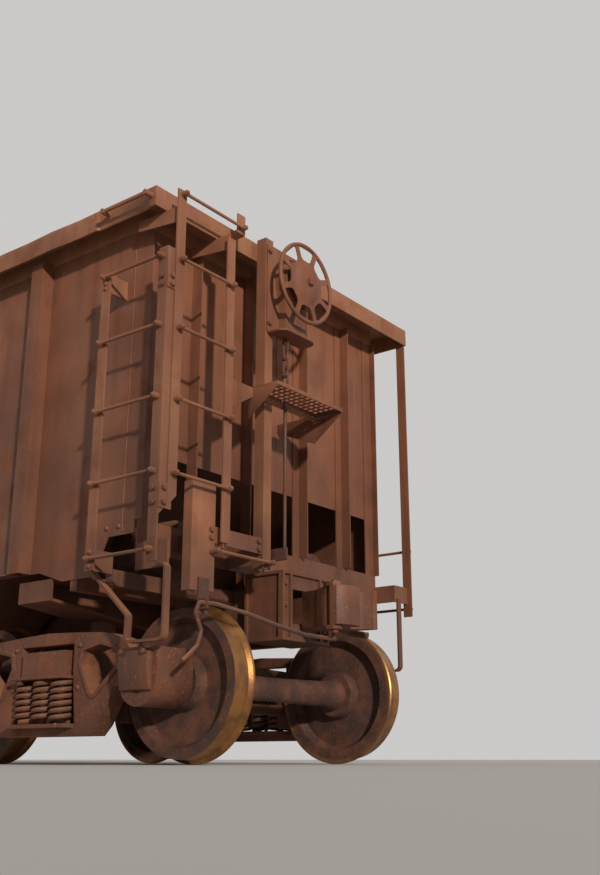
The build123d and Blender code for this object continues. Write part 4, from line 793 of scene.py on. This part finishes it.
# %% Hand wheel dish
WHEEL_AT = Vector((HALF_LENGTH + 0.235, -0.225, 3.000))
DISH = (
    (0.0142, 0.030), (0.060, 0.030), (0.092, 0.027), (0.122, 0.014),
    (0.147, 0.002), (0.165, 0.000), (0.2665, 0.000), (0.2665, -0.007),
    (0.163, -0.007), (0.142, -0.005), (0.117, 0.008), (0.088, 0.020),
    (0.060, 0.022), (0.038, 0.022), (0.038, -0.014), (0.0142, -0.014),
)
DISH_STEPS = 96
bpy.ops.mesh.primitive_circle_add(vertices=len(DISH), radius=1)
dish = bpy.context.object
for vertex, (radius, height) in zip(dish.data.vertices, DISH):
    vertex.co = (radius, 0, height)
winding = dish.modifiers.new("winding", "SCREW")
winding.axis = "Z"
winding.angle = 2 * pi
winding.steps = DISH_STEPS
winding.render_steps = DISH_STEPS
winding.use_merge_vertices = True
choose([dish])
bpy.ops.object.modifier_apply(modifier="winding")
edit(dish)
bpy.ops.mesh.remove_doubles(threshold=0.00002)
leave_edit()
print("dish", len(dish.data.polygons), "faces")

# %% Window punches
WINDOWS = 8
WINDOW_INNER = (0.158, 0.045)
WINDOW_OUTER = (0.247, 0.082)
WINDOW_CORNER = 0.026
PUNCH_REACH = 0.1
punches = []
for n in range(WINDOWS):
    bpy.ops.mesh.primitive_cube_add(size=1)
    punch = bpy.context.object
    for vertex in punch.data.vertices:
        radius, half = WINDOW_OUTER if vertex.co.x > 0 else WINDOW_INNER
        y = half if vertex.co.y > 0 else -half
        z = PUNCH_REACH if vertex.co.z > 0 else -PUNCH_REACH
        vertex.co = (radius, y, z)
    edit(punch)
    bpy.ops.mesh.select_all(action="DESELECT")
    bpy.ops.object.mode_set(mode="OBJECT")
    points = punch.data.vertices
    for edge in punch.data.edges:
        rise = points[edge.vertices[0]].co.z - points[edge.vertices[1]].co.z
        edge.select = abs(rise) > PUNCH_REACH
    bpy.ops.object.mode_set(mode="EDIT")
    bpy.ops.mesh.select_mode(type="EDGE")
    bpy.ops.mesh.bevel(offset=WINDOW_CORNER, segments=6, affect="EDGES")
    bpy.ops.mesh.select_mode(type="VERT")
    leave_edit()
    punch.matrix_world = Matrix.Rotation(2 * pi * n / WINDOWS, 4, "Z")
    punches.append(punch)
punch = join(punches, "window_punches")
print(len(punches), "punches")

# %% Punched plate
pressed = dish.modifiers.new("windows", "BOOLEAN")
pressed.operation = "DIFFERENCE"
pressed.solver = "EXACT"
pressed.object = punch
choose([dish])
bpy.ops.object.modifier_apply(modifier="windows")
discard(punch)
dish.matrix_world = place(WHEEL_AT, (1, 0, 0))
settle([dish], "hand_wheel_plate", "body_paint", "brake_wheel", 25)
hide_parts("brake_wheel")
print("hand wheel plate", len(dish.data.polygons), "faces")

# %% Hand wheel rim and nut
RIM_RADIUS = 0.2665
RIM_TUBE = 0.0130
bpy.ops.mesh.primitive_torus_add(
    major_segments=64, minor_segments=12, major_radius=RIM_RADIUS, minor_radius=RIM_TUBE
)
rim = bpy.context.object
rim.matrix_world = place(WHEEL_AT + Vector((-0.003, 0, 0)), (1, 0, 0))
settle([rim], "hand_wheel_rim", "body_paint", "brake_wheel")
nut = plate(WHEEL_AT + Vector((0.040, 0, 0)), (0.018, 0.040, 0.040))
washer_back = WHEEL_AT + Vector((0.029, 0, 0))
washer_front = WHEEL_AT + Vector((0.033, 0, 0))
nut_washer = round_bar(washer_back, washer_front, 0.032, 20)
settle([nut, nut_washer], "hand_wheel_nut", "bare_rust", "brake_wheel")
print("hand wheel rim", len(rim.data.polygons), "faces")

# %% [markdown]
# ## Chain and rod
# A chain hangs from the brake's gear case and pulls on a rod. The solids have flat links; here
# they become round bar, which a torus gives when it is pulled apart at its middle. Every other
# link is turned a quarter round, as in a real chain.

# %% Chain links
LINKS = 5
LINK_PITCH = 0.0596
LINK_RADIUS = 0.019
LINK_BAR = 0.008
CHAIN_AT = Vector((HALF_LENGTH + 0.110, -0.285, 2.575))
bpy.ops.mesh.primitive_torus_add(
    major_segments=16,
    minor_segments=8,
    major_radius=LINK_RADIUS,
    minor_radius=LINK_BAR,
    rotation=(pi / 2, 0, 0),
)
link = apply_place(bpy.context.object)
for vertex in link.data.vertices:
    if abs(vertex.co.z) > 0.0001:
        vertex.co.z += LINK_RADIUS if vertex.co.z > 0 else -LINK_RADIUS
parts = []
for n in range(LINKS):
    spot = Matrix.Translation(CHAIN_AT - Vector((0, 0, n * LINK_PITCH)))
    parts.append(twin(link, spot @ Matrix.Rotation(pi / 2 * (n % 2), 4, "Z")))
discard(link)
print(len(parts), "links")

# %% Rod and crank
ROD_RADIUS = 0.011
ROD_FOOT = 1.225
CRANK_Z = 1.2175
rod_top = CHAIN_AT.z - (LINKS - 1) * LINK_PITCH - 2 * LINK_RADIUS
rod_ends = [(CHAIN_AT.x, CHAIN_AT.y, z) for z in (ROD_FOOT, rod_top)]
parts.append(round_bar(*rod_ends, ROD_RADIUS))
crank_low = END_FACE + 0.020
crank_high = CHAIN_AT.x + 0.020
crank_at = ((crank_low + crank_high) / 2, CHAIN_AT.y, CRANK_Z)
parts.append(plate(crank_at, (crank_high - crank_low, 0.016, 0.075)))
chain = settle(parts, "chain_and_rod", "underframe_paint", "body")
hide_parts("brake_chain")
print("chain", len(chain.data.polygons), "faces")

# %% [markdown]
# ## The damaged chord
# In the picture the near top chord is pushed in behind its grab iron, between the corner and a
# splice about half a metre along, and it bulges slightly beyond. A copy of the chord is cut
# across at those places, and the outer wall's points are moved. The ripples further along stand
# for old knocks. A sculpted dent would be softer, but a pressed angle bends in flats like these.

# %% Chord with cuts
CHORD_TOP = 3.275
DENT = (HALF_LENGTH - 0.50, HALF_LENGTH - 0.075)
DENT_SLOPE = 0.012
DENT_DEPTH = 0.014
chord = nodes["top_chord"].copy()
chord.data = nodes["top_chord"].data.copy()
scene.collection.objects.link(chord)
chord.parent = None
edit(chord)
bpy.ops.mesh.remove_doubles(threshold=0.00005)
bpy.ops.mesh.dissolve_limited(angle_limit=radians(1.5))
cuts = [DENT[0] - DENT_SLOPE, DENT[0], DENT[1], DENT[1] + DENT_SLOPE]
cuts += [HALF_LENGTH - 0.7 - 0.25 * n for n in range(25)]
for x in cuts:
    bpy.ops.mesh.select_all(action="SELECT")
    bpy.ops.mesh.bisect(plane_co=(x, 0, 0), plane_no=(1, 0, 0))
for y in (-1.0, -0.5, 0.0, 0.5, 1.0):
    bpy.ops.mesh.select_all(action="SELECT")
    bpy.ops.mesh.bisect(plane_co=(0, y, 0), plane_no=(0, 1, 0))
bpy.ops.mesh.select_all(action="SELECT")
bpy.ops.mesh.bisect(plane_co=(0, 0, CHORD_TOP - 0.034), plane_no=(0, 0, 1))
leave_edit()
print(len(cuts), "cuts across the chord")

# %% Dent and ripples
WALL = 0.012
LIP_UNDER_TOP = 0.030
RIPPLE_FROM = 0.6
RIPPLE_INWARD = 0.004
BULGE_HIGH = 0.012
BULGE_LONG = 2.4
for vertex in chord.data.vertices:
    x, y, z = vertex.co
    in_dent = DENT[0] - 0.001 < x < DENT[1] + 0.001
    if in_dent and y < -HALF_WIDTH + WALL and z < CHORD_TOP - LIP_UNDER_TOP:
        vertex.co.y += DENT_DEPTH
    along = HALF_LENGTH - x
    if abs(y) > SIDE_FACE + 0.02 and along > RIPPLE_FROM:
        side = 1 if y > 0 else -1
        ripple = 0.004 * sin(5.1 * x) + 0.003 * sin(11.7 * x + 1.0)
        vertex.co.y += side * (ripple - RIPPLE_INWARD)
        if y < 0 and along < RIPPLE_FROM + BULGE_LONG:
            vertex.co.z += BULGE_HIGH * max(0.0, sin(pi * (along - RIPPLE_FROM) / BULGE_LONG))
print("dent", DENT_DEPTH, "m deep")

# %% Eased chord
soft = chord.modifiers.new("soft_edges", "BEVEL")
soft.width = 0.003
soft.segments = 2
soft.limit_method = "ANGLE"
soft.angle_limit = radians(50)
bpy.ops.object.modifier_apply(modifier="soft_edges")
# The chord gets the rubbed paint, which is worn and made paler as painted sunlight.
chord = settle([chord], "knocked_chord", "rubbed_sunlit_paint", "body", 30)
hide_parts("top_chord")
print("chord", len(chord.data.polygons), "faces")

# %% [markdown]
# ## Weld beads
# The plates are welded, and the beads show as thin raised lines: up the side and end sheets,
# and at the chord's splice. A bead could be a plain bar, but a real one is uneven. So a small
# ring is drawn out in short steps by a screw modifier that doesn't turn, and a displace modifier
# then roughens it.


# %% Bead
BEAD_RADIUS = 0.004
BEAD_STEP = 0.016


def bead(start, end):
    """A rough thin bar between two points."""
    start = Vector(start)
    run = Vector(end) - start
    bpy.ops.mesh.primitive_circle_add(vertices=8, radius=BEAD_RADIUS)
    item = bpy.context.object
    drawn = item.modifiers.new("drawn", "SCREW")
    drawn.axis = "Z"
    drawn.angle = 0
    drawn.screw_offset = run.length
    drawn.steps = drawn.render_steps = round(run.length / BEAD_STEP)
    bpy.ops.object.modifier_apply(modifier="drawn")
    item.matrix_world = place(start, run)
    apply_place(item)
    edit(item)
    bpy.ops.mesh.fill_holes(sides=0)
    leave_edit()
    texture = bpy.data.textures.get("bead_noise") or bpy.data.textures.new("bead_noise", "CLOUDS")
    texture.noise_scale = 0.02
    rough = item.modifiers.new("rough", "DISPLACE")
    rough.texture = texture
    rough.texture_coords = "LOCAL"
    rough.strength = 0.004
    rough.mid_level = 0.5
    choose([item])
    bpy.ops.object.modifier_apply(modifier="rough")
    return item


print("bead helper ready")

# %% Weld beads
SHEET_TOP = 3.13
SIDE_BEADS_X = (HALF_LENGTH - 0.336, -HALF_LENGTH + 0.336, 1.863, -1.863, 0.621, -0.621)
SIDE_BEAD_FOOT = 1.26
END_BEAD_Y = 0.05
END_BEAD_FOOT = 1.74
SPLICE_X = HALF_LENGTH - 0.53
SPLICE_Y = -HALF_WIDTH + 0.002
beads = []
for side in SIDES:
    y = side * SIDE_FACE
    for x in SIDE_BEADS_X:
        beads.append(bead((x, y, SIDE_BEAD_FOOT), (x, y, SHEET_TOP)))
for x in (END_FACE, -END_FACE):
    beads.append(bead((x, END_BEAD_Y, END_BEAD_FOOT), (x, END_BEAD_Y, SHEET_TOP)))
beads.append(bead((SPLICE_X, SPLICE_Y, 3.150), (SPLICE_X, SPLICE_Y, 3.262)))
welds = settle(beads, "weld_beads", "body_paint", "body")
print(len(beads), "beads,", len(welds.data.polygons), "faces")
discard(bolt)
discard(rivet)
